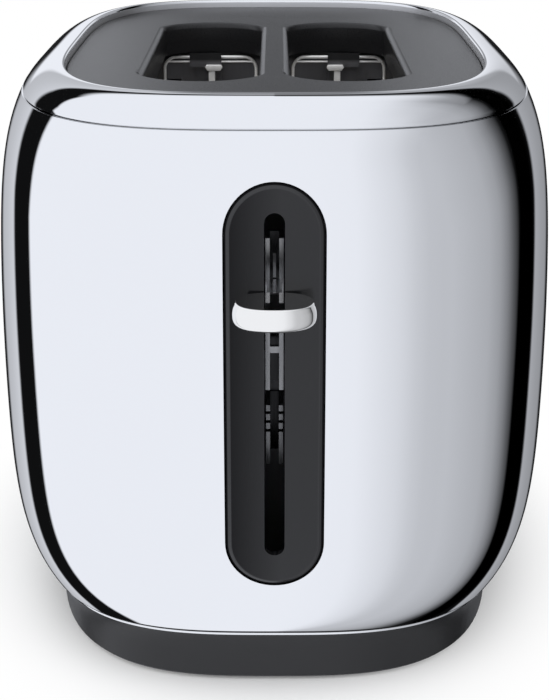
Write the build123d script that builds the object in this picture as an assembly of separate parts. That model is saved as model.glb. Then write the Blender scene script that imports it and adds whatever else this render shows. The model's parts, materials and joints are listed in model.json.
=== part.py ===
from build123d import *
import math
import os

# Two-slice toaster with a lever at one end, in millimetres.
# X runs across, Y from the lever end to the back, Z up from the table.
# The pieces are made round the body's middle and moved at the end, so that
# the origin lies under the middle of everything, the knob and dial included.

# Body, ring, deck and plinth
body_width = 185.0
body_length = 281.0
foot_stand = 1.0
plinth_height = 15.9
shell_height = 158.8
ring_height = 8.7
deck_drop = 2.8
belly_rise = 83.1
hem_inset = 11.8
shoulder_inset = 9.05
crest_inset = 22.6
body_squareness = 3.15
crest_squareness = 3.5
lower_roundness = 0.27
upper_roundness = 0.40
shell_wall = 0.9
hem_width = 4.0
ring_wall = 1.0
ring_skirt = 4.5
ring_lip_depth = 4.2
seam_gap = 0.35
deck_plate = 2.6
deck_skirt = 6.5
deck_wall = 1.8
deck_edge = 0.6
plinth_wall = 2.4
plinth_floor = 2.0
plinth_foot_inset_x = 4.9
plinth_foot_inset_y = 2.3
plinth_chamfer = 0.8

# Bread slots and wells
slot_width = 36.9
slot_divider = 9.8
slot_length = 141.8
slot_bulge = 14.0
slot_centre_y = -7.4
slot_lip_radius = 2.0
sleeve_wall = 1.4
sleeve_depth = 11.0

# Lever panel, lever and knob
panel_width = 28.8
panel_height = 123.4
panel_bottom = 38.4
panel_plate = 2.4
panel_proud = 0.3
panel_bevel = 1.3
lever_slot_width = 6.0
lever_slot_length = 104.8
lever_slot_bottom = 48.8
knob_width = 23.7
knob_depth = 18.8
knob_thickness = 7.2
knob_top = 131.4
arm_width = 4.4
arm_thickness = 2.0
arm_engagement = 9.0
lever_down = 72.0
lever_up = 18.0

# Chassis
sheet = 1.0
chassis_margin = 13.5
chassis_top_gap = 0.2
chassis_foot = 8.0
pan_thickness = 1.0
pan_margin = 0.5
reflector_gap = 3.5
reflector_flange = 6.0
rod_diameter = 4.0
rod_setback = 22.0
rod_x = -12.0
rod_tab_z = 163.0
rod_tab_thickness = 1.5
rod_tab_width = 36.0

# Carriage, lifters, spring and latch
beam_thickness = 2.0
beam_height = 12.0
beam_overhang = 4.5
bush_diameter = 9.0
channel_half_width = 2.7
channel_cheek = 1.3
channel_depth = 9.0
channel_bottom = 94.0
channel_top = 141.3
channel_bar = 2.0
rib_bottom = 124.5
rib_top = 136.5
rib_thickness = 0.9
guide_rail_bottom = 61.0
guide_rail_top = 81.0
guide_rail_depth = 15.0
lifter_width = 12.0
lifter_sheet = 1.2
lifter_top_rest = 117.0
lifter_tooth = 4.0
lifter_teeth = 8
lifter_arm_width = 3.0
lifter_arm_height = 6.0
lifter_tail = 3.0
spring_x = 12.0
spring_diameter = 7.0
spring_wire = 0.9
spring_turns = 8
keeper_width = 16.0
keeper_thickness = 2.0
magnet_x = 17.0
coil_diameter = 14.0
core_diameter = 7.0

# Heaters and bread guards
card_thickness = 0.8
card_bottom = 34.0
card_top = 158.0
outer_card_spread = 97.0
ribbon_width = 2.2
ribbon_thickness = 0.4
ribbon_turns = 7
guard_wire = 1.4
guard_rail_height = 2.6
guard_rail_thickness = 2.0
guard_wires = 8
guard_bottom = 40.0
guard_top = 158.0
inner_guard_spread = 14.4
outer_guard_gap = 5.7
guard_closing = 5.0
guard_opening = 1.3
guard_arm_z = 168.7
guard_arm_bend = 4.5
guard_arm_inset = 3.5
guard_tip_gap = 0.8
clip_width = 12.3
clip_sheet = 0.6
clip_offset = 3.5
tail_frame_top = 165.5

# Crumb tray
tray_width = 96.0
tray_wall = 0.8
tray_height = 6.2
tray_lip_height = 9.0
tray_lip_depth = 5.0
tray_travel = 190.0

# Controls on the long side
fascia_length = 118.0
fascia_height = 34.0
fascia_centre_y = 12.0
fascia_centre_z = 66.0
fascia_plate = 2.4
dial_diameter = 25.0
dial_height = 7.4
dial_offset = 38.0
pointer_height = 0.6
spindle_diameter = 6.0
button_diameter = 11.0
button_proud = 1.6
button_pitch = 17.0
button_travel = 1.2
buttons = 3
button_stem = 5.0
board_thickness = 1.6
board_setback = 16.0
board_height = 44.0

# Small pieces and clearances
running_gap = 0.05
free_gap = 0.3
panel_gap = 0.4
cut_depth = 40.0
foot_diameter = 13.0
foot_height = 2.4
foot_spread_x = 80.0
foot_spread_y = 204.0
screw_diameter = 3.0
screw_head = 5.6
gland_diameter = 11.0
gland_bore = 7.0
gland_inset = 7.0
gland_setback = 28.0
gland_length = 8.0
screw_head_height = 1.0
screw_pitch = 55.0
vent_length = 18.0
vent_width = 3.0
vents = 4
vent_pitch = 22.0
vent_spread = 60.0
grip_width = 34.0
grip_reach = 3.0
grip_height = 2.5
terminal_width = 12.0
terminal_length = 15.0
terminal_height = 11.0
terminal_rise = 6.0
plinth_top_inset = 0.6
knob_squareness = 2.3
ribbon_end = 3.0
board_post = 5.0
control_diameter = 17.0
control_depth = 7.0
switch_height = 3.5

# Heights and places worked out from the sizes above
length_extra = (body_length - body_width) / 2
plinth_bottom = foot_stand
hem_z = plinth_bottom + plinth_height
seam_z = hem_z + shell_height
crest_z = seam_z + ring_height
deck_z = crest_z - deck_drop
belly_z = hem_z + belly_rise
seam_half = body_width / 2 - shoulder_inset
crest_half = body_width / 2 - crest_inset
lip_half = crest_half - ring_wall
deck_half = lip_half - free_gap
well_x = (slot_divider + slot_width) / 2
outer_guard_spread = outer_card_spread - 2 * outer_guard_gap
reflector_spread = outer_card_spread + 2 * reflector_gap
chassis_width = outer_card_spread + 2 * chassis_margin
slot_front = slot_centre_y - slot_length / 2
slot_back = slot_centre_y + slot_length / 2
sleeve_bottom = deck_z - sleeve_depth
front_plate_y = slot_front - sleeve_wall - sheet
back_plate_y = slot_back + sleeve_wall
plates_middle = (back_plate_y + front_plate_y + sheet) / 2
pan_z = plinth_bottom + plinth_floor
pan_top = pan_z + pan_thickness
chassis_top = sleeve_bottom - chassis_top_gap
front_y = -body_length / 2
knob_front = front_y - panel_proud - free_gap - knob_depth
arm_z = knob_top - knob_thickness / 2 - arm_thickness / 2
rod_y = front_plate_y - rod_setback
tray_z = pan_top + free_gap
tray_front = front_plate_y - 4.0
lever_reach = -knob_front - body_length / 2
channel_y = rod_y - bush_diameter / 2 - beam_thickness - channel_depth
beam_y = channel_y + channel_depth
beam_z = lifter_top_rest - lifter_sheet - beam_height
core_top = beam_z - keeper_thickness - lever_down - free_gap
window_x = tray_width / 2 + 6
window_y = -front_plate_y + 10
gland_x = tray_width / 2 + gland_inset
gland_z = (pan_top + hem_z) / 2
screw_seat_z = plinth_bottom + plinth_floor / 2 + 0.2
reflector_bottom = tray_z + tray_lip_height + 1
clip_x = well_x + clip_offset
plinth_foot_x = body_width / 2 - hem_inset - plinth_foot_inset_x
plinth_extra = length_extra + plinth_foot_inset_x - plinth_foot_inset_y
board_x = -body_width / 2 + board_setback


def half_width_at(z):
    """Half the body's width at a height: widest at the belly, drawn in above and below."""
    if z < belly_z:
        share = (belly_z - z) / (belly_z - hem_z)
        even, inset = lower_roundness, hem_inset
    else:
        share = (z - belly_z) / (seam_z - belly_z)
        even, inset = upper_roundness, shoulder_inset
    return body_width / 2 - inset * (even * share**2 + (1 - even) * share**6)


def outline(half_x, z, squareness=body_squareness, extra=length_extra, points=32):
    """Closed rounded-rectangle curve whose half length is half_x plus extra."""
    corners = []
    for i in range(points):
        angle = 2 * math.pi * i / points
        c, s = math.cos(angle), math.sin(angle)
        reach = (abs(c) ** squareness + abs(s) ** squareness) ** (-1 / squareness)
        corners.append((half_x * c * reach, (half_x + extra) * s * reach, z))
    return Wire([Spline(*corners, periodic=True)])


def body_solid(offset, low=hem_z, high=seam_z, stations=8):
    """The chrome body's outer form, grown or shrunk by an offset."""
    heights = [low + (high - low) * i / (stations - 1) for i in range(stations)]
    return Solid.make_loft([outline(half_width_at(z) + offset, z) for z in heights])


def slab(half_x, low, high, squareness=body_squareness, extra=length_extra):
    """Straight-sided block with the rounded-rectangle outline."""
    face = Face(outline(half_x, low, squareness, extra))
    return Solid.extrude(face, Vector(0, 0, high - low))


def block(x0, x1, y0, y1, z0, z1):
    """Plain block between two corners."""
    size = Box(x1 - x0, y1 - y0, z1 - z0)
    return Pos((x0 + x1) / 2, (y0 + y1) / 2, (z0 + z1) / 2) * size


def pin(radius, x, y, z0, z1):
    """Upright round bar."""
    return Pos(x, y, (z0 + z1) / 2) * Cylinder(radius, z1 - z0)


def pin_x(radius, x0, x1, y, z):
    """Round bar along X."""
    return Pos((x0 + x1) / 2, y, z) * Rot(0, 90, 0) * Cylinder(radius, x1 - x0)


def pin_y(radius, x, y0, y1, z):
    """Round bar along Y."""
    return Pos(x, (y0 + y1) / 2, z) * Rot(90, 0, 0) * Cylinder(radius, y1 - y0)


def slot_face(grow=0.0):
    """A bread slot's opening, straight at the sides and bulged at the ends."""
    half = slot_width / 2 + grow
    straight = slot_length / 2 - slot_bulge
    tip = slot_length / 2 + grow
    edges = [
        Line((half, -straight), (half, straight)),
        ThreePointArc((half, straight), (0, tip), (-half, straight)),
        Line((-half, straight), (-half, -straight)),
        ThreePointArc((-half, -straight), (0, -tip), (half, -straight)),
    ]
    return Face(Wire(edges))


def pill(width, height, depth):
    """Upright pill-shaped prism along Y, centred on its own middle."""
    profile = Rot(90, 0, 0) * SlotOverall(height, width, rotation=90)
    return extrude(profile, amount=depth / 2, both=True)


def ring_point(share, depth):
    """Half width and height on the ring's shoulder, at a depth under its surface."""
    step = 0.01
    slope = (half_width_at(seam_z) - half_width_at(seam_z - step)) / step
    lean = math.hypot(slope, 1)
    start = (seam_half - seam_gap, seam_z + seam_gap)
    first = (start[0] + 0.55 * ring_height * slope / lean, start[1] + 0.55 * ring_height / lean)
    last = (crest_half, crest_z)
    second = (crest_half + 0.7 * ring_height, crest_z)
    spots = (start, first, second, last)
    u, v = share, 1 - share
    weights = (v**3, 3 * v * v * u, 3 * v * u * u, u**3)
    slopes = (-3 * v * v, 3 * v * v - 6 * v * u, 6 * v * u - 3 * u * u, 3 * u * u)
    x = sum(w * p[0] for w, p in zip(weights, spots))
    z = sum(w * p[1] for w, p in zip(weights, spots))
    dx = sum(w * p[0] for w, p in zip(slopes, spots))
    dz = sum(w * p[1] for w, p in zip(slopes, spots))
    length = math.hypot(dx, dz)
    return x - depth * dz / length, z + depth * dx / length


def station(half, z, squareness=body_squareness, extra=length_extra):
    return half, z, squareness, extra


def shoulder(depth, first=0.0, last=1.0, steps=6):
    """Stations up the ring's rounded shoulder, from the seam's side to the crest."""
    stations = []
    for i in range(steps + 1):
        share = first + (last - first) * i / steps
        half, z = ring_point(share, depth)
        stations.append(station(half, z, body_squareness + (crest_squareness - body_squareness) * share))
    return stations


def banded(bands, caps=()):
    """Solid whose skin is a chain of bands between outlines, with whole faces as caps."""
    faces = [Face(outline(*cap)) for cap in caps]
    for band in bands:
        wires = [outline(*place) for place in band]
        if band[0][1] == band[-1][1]:
            wide, narrow = (wires[0], wires[-1]) if band[0][0] > band[-1][0] else (wires[-1], wires[0])
            faces.append(Face(wide, [narrow]))
        else:
            loft = Solid.make_loft(wires)
            faces += [f for f in loft.faces() if f.geom_type != GeomType.PLANE]
    return Solid(Shell(faces))


def body_shell():
    """Drawn steel body: open top and bottom, a turned-in hem and the cuts for both panels."""
    heights = [hem_z + shell_height * i / 7 for i in range(8)]
    outside = [station(half_width_at(z), z) for z in heights]
    inside = [station(half_width_at(z) - shell_wall, z) for z in [hem_z + shell_wall] + heights[1:]]
    hem_half = half_width_at(hem_z) - hem_width
    fold = station(hem_half, hem_z + shell_wall)
    shell = banded([
        outside,
        [outside[-1], inside[-1]],
        inside,
        [inside[0], fold],
        [fold, station(hem_half, hem_z)],
        [station(hem_half, hem_z), outside[0]],
    ])
    return shell - panel_hole(panel_gap) - fascia_hole(panel_gap)


def panel_hole(gap):
    middle = panel_bottom + panel_height / 2
    hole = pill(panel_width + 2 * gap, panel_height + 2 * gap, cut_depth)
    return Pos(0, front_y, middle) * hole


def fascia_hole(gap):
    hole = Rot(0, 0, 90) * Rot(0, 90, 0) * pill(fascia_height + 2 * gap, fascia_length + 2 * gap, cut_depth)
    return Pos(-body_width / 2, fascia_centre_y, fascia_centre_z) * hole


def top_ring():
    """Polished shoulder ring with a rolled crest, an inner lip and a skirt inside the body."""
    outer = shoulder(0)
    inner = shoulder(ring_wall, 0.2)
    crest = outer[-1]
    skirt_half = seam_half - shell_wall - free_gap
    skirt_z = seam_z - ring_skirt
    skirt_top = station(skirt_half, outer[0][1])
    lip_z = crest_z - ring_lip_depth
    roll = [crest, station(crest_half - 0.65 * ring_wall, crest_z - 0.2 * ring_wall, crest_squareness),
            station(lip_half, crest_z - 0.9 * ring_wall, crest_squareness)]
    lip = [station(lip_half, lip_z, crest_squareness), station(crest_half, lip_z, crest_squareness)]
    skirt = [station(skirt_half, skirt_z), station(skirt_half - 1.3 * ring_wall, skirt_z)]
    return banded([
        outer, roll, [roll[-1], lip[0]], lip, [lip[1], inner[-1]], inner,
        [inner[0], skirt[1]], skirt, [skirt[0], skirt_top], [skirt_top, outer[0]],
    ])


def top_deck():
    """Moulded deck with two rounded slots and the sleeves that lead the bread down."""
    def level(half, z):
        return station(half, z, crest_squareness)

    under = deck_z - deck_plate
    skirt_z = deck_z - deck_skirt
    edge = [level(deck_half - deck_edge, deck_z), level(deck_half - 0.3 * deck_edge, deck_z - 0.3 * deck_edge),
            level(deck_half, deck_z - deck_edge)]
    inner = level(deck_half - deck_wall, skirt_z)
    roof = level(deck_half - deck_wall, under)
    deck = banded([edge, [edge[-1], level(deck_half, skirt_z)], [level(deck_half, skirt_z), inner],
                   [inner, roof]], caps=(edge[0], roof))
    for side in (-1, 1):
        sleeve = extrude(slot_face(sleeve_wall), amount=deck_z - sleeve_bottom - deck_plate / 2)
        deck += Pos(side * well_x, slot_centre_y, sleeve_bottom) * sleeve
    for side in (-1, 1):
        opening = extrude(slot_face(), amount=sleeve_depth + 2)
        deck -= Pos(side * well_x, slot_centre_y, sleeve_bottom - 1) * opening
    top_edges = deck.faces().filter_by(Plane.XY).sort_by(Axis.Z)[-1].inner_wires()
    return deck.fillet(slot_lip_radius, [e for w in top_edges for e in w.edges()])


def plinth_stations(offset=0.0, low=plinth_bottom, high=hem_z):
    """Stations up the plinth's side, drawn in under the hem with a hollow flare."""
    top_x = half_width_at(hem_z) - plinth_top_inset
    stations = []
    for rise, share in ((0, 0), (0.2, 0.04), (0.5, 0.16), (0.8, 0.5), (1, 1)):
        half = plinth_foot_x + (top_x - plinth_foot_x) * share + offset
        extra = plinth_extra + (length_extra - plinth_extra) * share
        stations.append(station(half, low + (high - low) * rise, extra=extra))
    return stations


def base_plinth():
    """Moulded foot of the body with a floor rim, pockets for the feet and the tray's doorway."""
    outside = plinth_stations(0, plinth_bottom + plinth_chamfer)
    inside = plinth_stations(-plinth_wall, pan_z)[::2]
    foot = station(plinth_foot_x - plinth_chamfer, plinth_bottom, extra=plinth_extra)
    plinth = banded([[foot, outside[0]], outside, [outside[-1], inside[-1]], inside],
                    caps=(foot, inside[0]))
    plinth -= block(-window_x, window_x, -window_y, window_y, 0, pan_z + 1)
    door_x = tray_width / 2 + free_gap
    door_top = tray_z + tray_lip_height + free_gap
    plinth -= block(-door_x, door_x, 0, body_length, tray_z - free_gap, door_top)
    plinth -= pin_y(gland_diameter / 2, gland_x, 0, body_length, gland_z)
    for x, y in foot_places():
        plinth -= pin(foot_diameter / 2 + running_gap, x, y, 0, foot_height)
    for x, y in screw_places():
        plinth -= pin(screw_diameter / 2 + running_gap, x, y, 0, pan_top)
        plinth -= pin(screw_head / 2 + free_gap, x, y, 0, screw_seat_z)
    return plinth


def foot_places():
    return [(sx * foot_spread_x / 2, sy * foot_spread_y / 2) for sx in (-1, 1) for sy in (-1, 1)]


def screw_places():
    x = window_x + screw_head
    return [(side * x, end * screw_pitch) for side in (-1, 1) for end in (-1, 1)]


def bottom_pan():
    """Pressed steel pan over the plinth's window, with rows of vent slots."""
    pan = slab(plinth_foot_x - plinth_wall - pan_margin, pan_z, pan_top, extra=plinth_extra)
    for x, y in screw_places():
        pan -= pin(screw_diameter / 2 + running_gap, x, y, 0, pan_top + 1)
    vent = extrude(SlotOverall(vent_length, vent_width), amount=3 * pan_thickness)
    for row in (-1, 1):
        for i in range(vents):
            y = (i - (vents - 1) / 2) * vent_pitch
            pan -= Pos(row * vent_spread / 2, y, pan_z - pan_thickness) * vent
    return pan


def rubber_feet():
    """Four round rubber feet in the plinth's pockets."""
    return [pin(foot_diameter / 2, x, y, 0, foot_height) for x, y in foot_places()]


def base_screws():
    """Screws that hold the pan to the plinth, heads sunk into its floor."""
    screws = []
    for x, y in screw_places():
        head = pin(screw_head / 2, x, y, screw_seat_z - screw_head_height, screw_seat_z)
        screws.append(head + pin(screw_diameter / 2, x, y, screw_seat_z, pan_top + 1.5))
    return screws


def crumb_tray():
    """Shallow sheet tray whose outer lip closes the doorway and follows the plinth's wall."""
    half = tray_width / 2
    top = tray_z + tray_height
    tray = block(-half, half, tray_front, body_length / 2, tray_z, top)
    tray -= block(-half + tray_wall, half - tray_wall, tray_front + tray_wall, body_length,
                  tray_z + tray_wall, top + 1)
    lip_top = tray_z + tray_lip_height
    outside = slab(plinth_foot_x - free_gap, 0, lip_top, extra=plinth_extra)
    inside = slab(plinth_foot_x - free_gap - tray_lip_depth, 0, lip_top + 1, extra=plinth_extra)
    tray &= outside
    lip = block(-half, half, 0, body_length, tray_z, lip_top)
    tray += (lip & outside) - inside
    grip_y = plinth_foot_x + plinth_extra - free_gap
    grip = Pos(0, grip_y, tray_z) * extrude(SlotOverall(grip_width, 2 * grip_reach), amount=grip_height)
    return tray + (grip & block(-half, half, grip_y - tray_lip_depth, body_length, 0, lip_top))


def cord_gland():
    """Rubber bush round the cord's way in, low at the back."""
    y_out = body_length / 2 - gland_setback
    ring = pin_y(gland_diameter / 2, gland_x, y_out - gland_length, y_out, gland_z)
    return ring - pin_y(gland_bore / 2, gland_x, 0, body_length, gland_z)


def terminal_block():
    """Moulded block where the leads are joined, on the back plate over the tray."""
    half = terminal_length / 2
    y0 = back_plate_y + sheet
    z0 = reflector_bottom + terminal_rise
    z1 = z0 + terminal_height
    body = block(-half, half, y0, y0 + terminal_width, z0, z1)
    for i in range(3):
        x = terminal_length * (i - 1) / 3
        body -= pin(screw_diameter / 2, x, y0 + terminal_width / 2, z0 + terminal_height / 2, z1 + 1)
    return body


def curved_plate(prism, outer, inner, low, high):
    """The part of a prism that lies between two offsets of the body's form."""
    return (prism & body_solid(outer, low, high, 6)) - body_solid(inner, low - 1, high + 1, 6)


def lever_panel():
    """Moulded pill-shaped panel, flush in the shell and curved with it, with a bevelled border."""
    middle = panel_bottom + panel_height / 2
    low, high = panel_bottom - 4, panel_bottom + panel_height + 4
    front = Pos(0, front_y, middle) * pill(panel_width, panel_height, cut_depth)
    panel = curved_plate(front, panel_proud, -panel_plate, low, high)
    edge = panel.faces().sort_by(Axis.Y)[0].outer_wire().edges()
    panel = panel.chamfer(panel_bevel / 2, panel_bevel, edge)
    slot_middle = lever_slot_bottom + lever_slot_length / 2
    return panel - Pos(0, front_y, slot_middle) * pill(lever_slot_width, lever_slot_length, knob_depth * 2)


def lever_knob():
    """Polished pebble-shaped grip with a flat top and a pocket for the lever arm."""
    shape = ((0, 0.62), (0.08, 0.80), (0.25, 0.94), (0.55, 1.0), (0.85, 0.97), (1, 0.91))
    base = knob_top - knob_thickness
    sections = []
    for rise, share in shape:
        half = knob_width / 2 * share
        extra = (knob_depth - knob_width) / 2 * share
        sections.append(outline(half, base + rise * knob_thickness, knob_squareness, extra, 24))
    knob = Pos(0, knob_front + knob_depth / 2, 0) * Solid.make_loft(sections)
    return knob - lever_bar(running_gap)


def lever_bar(grow=0.0):
    """The lever arm's flat bar, from inside the knob to the carriage's channel."""
    y0 = knob_front + knob_depth - arm_engagement - grow
    return block(-arm_width / 2 - grow, arm_width / 2 + grow, y0, channel_y,
                 arm_z - grow, arm_z + arm_thickness + grow)


def carriage():
    """Stamped carriage: a beam for the lifters, an upright channel for the lever and a rod bush."""
    half = well_x + lifter_arm_width / 2 + beam_overhang
    frame = block(-half, half, beam_y, beam_y + beam_thickness, beam_z, beam_z + beam_height)
    frame += block(-channel_half_width, channel_half_width, beam_y, beam_y + beam_thickness,
                   channel_bottom, channel_top)
    for side in (-1, 1):
        inner, outer = side * (channel_half_width - channel_cheek), side * channel_half_width
        frame += block(min(inner, outer), max(inner, outer), channel_y, beam_y, channel_bottom, channel_top)
    bar_z = beam_z + 2
    frame += block(-channel_half_width, channel_half_width, channel_y, channel_y + channel_bar,
                   bar_z, bar_z + channel_bar)
    frame += block(-rib_thickness / 2, rib_thickness / 2, channel_y + 1, beam_y, rib_bottom, rib_top)
    frame += pin(bush_diameter / 2, rod_x, rod_y, beam_z, beam_z + beam_height)
    reach = block(rod_x - bush_diameter / 2, rod_x + bush_diameter / 2, beam_y, rod_y,
                  beam_z, beam_z + beam_height)
    frame += reach
    return frame - pin(rod_diameter / 2 + running_gap, rod_x, rod_y, beam_z - 1, beam_z + beam_height + 1)


def bread_lifter(side):
    """Bread rack in a well: a flat rail with notched teeth, an arm through the front plate, a tail."""
    x = side * well_x
    top = lifter_top_rest
    y0 = front_plate_y + sheet + free_gap
    y1 = back_plate_y - free_gap
    rail = block(x - lifter_width / 2, x + lifter_width / 2, y0, y1, top - lifter_sheet, top)
    arm_top = top - lifter_sheet
    half_arm = lifter_arm_width / 2
    rail += block(x - half_arm, x + half_arm, beam_y + beam_thickness, y1 + sheet + free_gap + lifter_tail,
                  arm_top - lifter_arm_height, arm_top)
    notch = Rot(90, 0, 0) * RegularPolygon(lifter_width / 3, 4, rotation=0)
    for i in range(lifter_teeth):
        y = y0 + (y1 - y0) * (i + 0.5) / lifter_teeth
        tooth = block(x - lifter_width / 2, x + lifter_width / 2, y, y + lifter_sheet, top, top + lifter_tooth)
        rail += tooth - Pos(x, y, top + lifter_tooth + 0.4) * extrude(notch, amount=3, both=True)
    return rail


def keeper_plate():
    """Iron plate under the beam that the latch magnet holds at the bottom of the travel."""
    return block(magnet_x - keeper_width / 2, magnet_x + keeper_width / 2, beam_y,
                 beam_y + keeper_width, beam_z - keeper_thickness, beam_z)


def magnet_core():
    """Iron core and foot of the latch magnet."""
    y = beam_y + keeper_width / 2
    foot = block(magnet_x - coil_diameter / 2, magnet_x + coil_diameter / 2, y - coil_diameter / 2,
                 y + coil_diameter / 2, pan_top, pan_top + 3)
    return foot + pin(core_diameter / 2, magnet_x, y, pan_top, core_top)


def magnet_coil():
    """Wound bobbin round the core."""
    y = beam_y + keeper_width / 2
    low, high = pan_top + 3, core_top - 2
    coil = pin(coil_diameter / 2 - 1, magnet_x, y, low, high)
    coil += pin(coil_diameter / 2, magnet_x, y, low, low + 1) + pin(coil_diameter / 2, magnet_x, y, high - 1, high)
    return coil - pin(core_diameter / 2, magnet_x, y, low - 1, high + 1)


def guide_rod():
    """Upright rod that the carriage rides on."""
    return pin(rod_diameter / 2, rod_x, rod_y, pan_top, rod_tab_z + rod_tab_thickness + 1)


def least_gap(winding, steps=24):
    """Least gap between the wire's turns, measured on points half a turn apart or more."""
    count = spring_turns * steps
    points = [winding @ (i / count) for i in range(count + 1)]
    pairs = ((a, b) for i, a in enumerate(points) for b in points[i + steps // 2:])
    return min((b - a).length for a, b in pairs) - spring_wire


def carriage_spring():
    """Return spring between the tab and the beam, wound as one unbroken wire."""
    low = beam_z + beam_height + running_gap + spring_wire / 2
    high = rod_tab_z - running_gap - spring_wire / 2
    radius = (spring_diameter - spring_wire) / 2
    centre = (spring_x, beam_y + beam_thickness / 2, low)
    winding = Helix((high - low) / spring_turns, high - low, radius, center=centre)
    print(f"least gap in the spring: {least_gap(winding):.2f} mm")
    wire = Plane(origin=winding @ 0, z_dir=winding % 0) * Circle(spring_wire / 2)
    return sweep(wire, path=winding, is_frenet=True)


def chassis_plate(y):
    """End plate of the wells on two feet, with slots for the lifters, guards and tray."""
    half = chassis_width / 2
    plate = block(-half, half, y, y + sheet, pan_top, chassis_top)
    tray_half = tray_width / 2 + 2 * free_gap
    plate -= block(-tray_half, tray_half, y - 1, y + 2, 0, tray_z + tray_height + 2 * free_gap)
    away = -1 if y < plates_middle else 1
    foot_y = sorted((y + sheet / 2, y + sheet / 2 + away * chassis_foot))
    for side in (-1, 1):
        foot_x = sorted((side * half, side * (tray_half + free_gap)))
        plate += block(*foot_x, *foot_y, pan_top, pan_top + sheet)
        x = side * well_x
        arm_top = lifter_top_rest - lifter_sheet
        gap = lifter_arm_width / 2 + free_gap
        plate -= block(x - gap, x + gap, y - 1, y + 2, arm_top - lifter_arm_height - lever_down - free_gap,
                       arm_top + lever_up + free_gap)
    for side in (-1, 1):
        for x, inward in ((side * inner_guard_spread / 2, side), (side * outer_guard_spread / 2, -side)):
            reach = guard_rail_thickness / 2 + free_gap
            rise = guard_rail_height / 2 + free_gap
            ends = sorted((x - inward * (guard_opening + reach), x + inward * (guard_closing + reach)))
            for z in (guard_bottom, guard_top):
                plate -= block(*ends, y - 1, y + 2, z - rise, z + rise)
    return plate


def front_plate():
    """Front end plate with the folded tab that holds the rod and spring, and the lower guide rail."""
    plate = chassis_plate(front_plate_y)
    tab_half = rod_tab_width / 2
    plate += block(-tab_half, tab_half, beam_y - 2, front_plate_y + sheet,
                   rod_tab_z, rod_tab_z + rod_tab_thickness)
    return plate - pin(rod_diameter / 2 + running_gap, rod_x, rod_y, rod_tab_z - 1, chassis_top)


def guide_rail():
    """Forked rail on the front plate behind the lever slot, with notched and pointed cheeks."""
    y0, y1 = front_plate_y - guide_rail_depth, front_plate_y
    rail = block(-channel_half_width, channel_half_width, y1 - 1.5, y1, guide_rail_bottom, guide_rail_top)
    notch = (guide_rail_top - guide_rail_bottom) / 10
    for side in (-1, 1):
        x = sorted((side * (channel_half_width - channel_cheek), side * channel_half_width))
        cheek = block(*x, y0, y1, guide_rail_bottom, guide_rail_top)
        for i in range(3):
            z = guide_rail_top - notch * (1.5 * i + 1)
            cheek -= block(x[0] - 1, x[1] + 1, y0 - 1, y0 + guide_rail_depth / 3, z - notch / 2, z)
        rail += cheek
    return rail


def back_plate():
    """Back end plate with a clip over the guards' arms and a framed slot for each lifter's tail."""
    plate = chassis_plate(back_plate_y)
    clip_y = guard_arm_y() - guard_wire / 2 - free_gap
    for side in (-1, 1):
        x = side * clip_x
        low = guard_arm_z - 2 * guard_wire - free_gap
        half = clip_width / 2
        plate += block(x - half, x + half, clip_y - clip_sheet, clip_y, low - clip_sheet, chassis_top)
        plate += block(x - half, x + half, clip_y - clip_sheet, back_plate_y, low - clip_sheet, low)
        x = side * well_x
        roof = tail_frame_top
        plate += block(x - 3.2, x + 3.2, back_plate_y - 1.5, back_plate_y, roof - 2, roof)
        for edge in (-1, 1):
            rib = sorted((x + edge * (lifter_arm_width / 2 + free_gap), x + edge * (lifter_arm_width / 2 + 1)))
            plate += block(*rib, back_plate_y - 1.5, back_plate_y, roof - 12, roof)
    return plate


def guard_arm_y():
    return back_plate_y - guard_arm_inset


def bread_guard(x, inward):
    """Bread guard: uprights between two rails that ride in the plates' slots, and a bent wire arm."""
    y0 = front_plate_y - free_gap
    y1 = back_plate_y + sheet + free_gap
    half_x, half_z, half_wire = guard_rail_thickness / 2, guard_rail_height / 2, guard_wire / 2
    guard = block(x - half_x, x + half_x, y0, y1, guard_bottom - half_z, guard_bottom + half_z)
    guard += block(x - half_x, x + half_x, y0, y1, guard_top - half_z, guard_top + half_z)
    first, last = front_plate_y + sheet + 8, guard_arm_y()
    for i in range(guard_wires - 1):
        y = first + (last - first) * i / (guard_wires - 1)
        guard += block(x - half_wire, x + half_wire, y - half_wire, y + half_wire, guard_bottom, guard_top)
    tip = math.copysign(clip_x, x) - inward * (guard_closing + guard_tip_gap / 2)
    bend = FilletPolyline((x, last, guard_bottom), (x, last, guard_arm_z), (tip, last, guard_arm_z),
                          radius=guard_arm_bend)
    profile = Plane(origin=bend @ 0, z_dir=bend % 0) * Rectangle(guard_wire, guard_wire)
    return guard + sweep(profile, path=bend)


def heater_card(x):
    """Mica card, notched along its ends where the ribbon turns."""
    y0, y1 = front_plate_y + sheet, back_plate_y
    card = block(x - card_thickness / 2, x + card_thickness / 2, y0, y1, card_bottom, card_top)
    for i in range(ribbon_turns):
        z = ribbon_z(i)
        for y in (y0, y1):
            card -= block(x - 1, x + 1, y - ribbon_end / 2, y + ribbon_end / 2, z - ribbon_width, z)
    return card


def ribbon_z(i):
    return card_bottom + (card_top - card_bottom) * (i + 1) / (ribbon_turns + 1)


def heater_ribbon(x, side):
    """Flat heating ribbon laid to and fro on one face of a card."""
    face = x + side * card_thickness / 2
    xs = sorted((face, face + side * ribbon_thickness))
    y0, y1 = front_plate_y + sheet + ribbon_end, back_plate_y - ribbon_end
    half = ribbon_width / 2
    ribbon = block(*xs, y0, y1, ribbon_z(0) - half, ribbon_z(0) + half)
    for i in range(1, ribbon_turns):
        ribbon += block(*xs, y0, y1, ribbon_z(i) - half, ribbon_z(i) + half)
        end = y1 if i % 2 else y0 + ribbon_width
        ribbon += block(*xs, end - ribbon_width, end, ribbon_z(i - 1), ribbon_z(i))
    return ribbon


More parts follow.
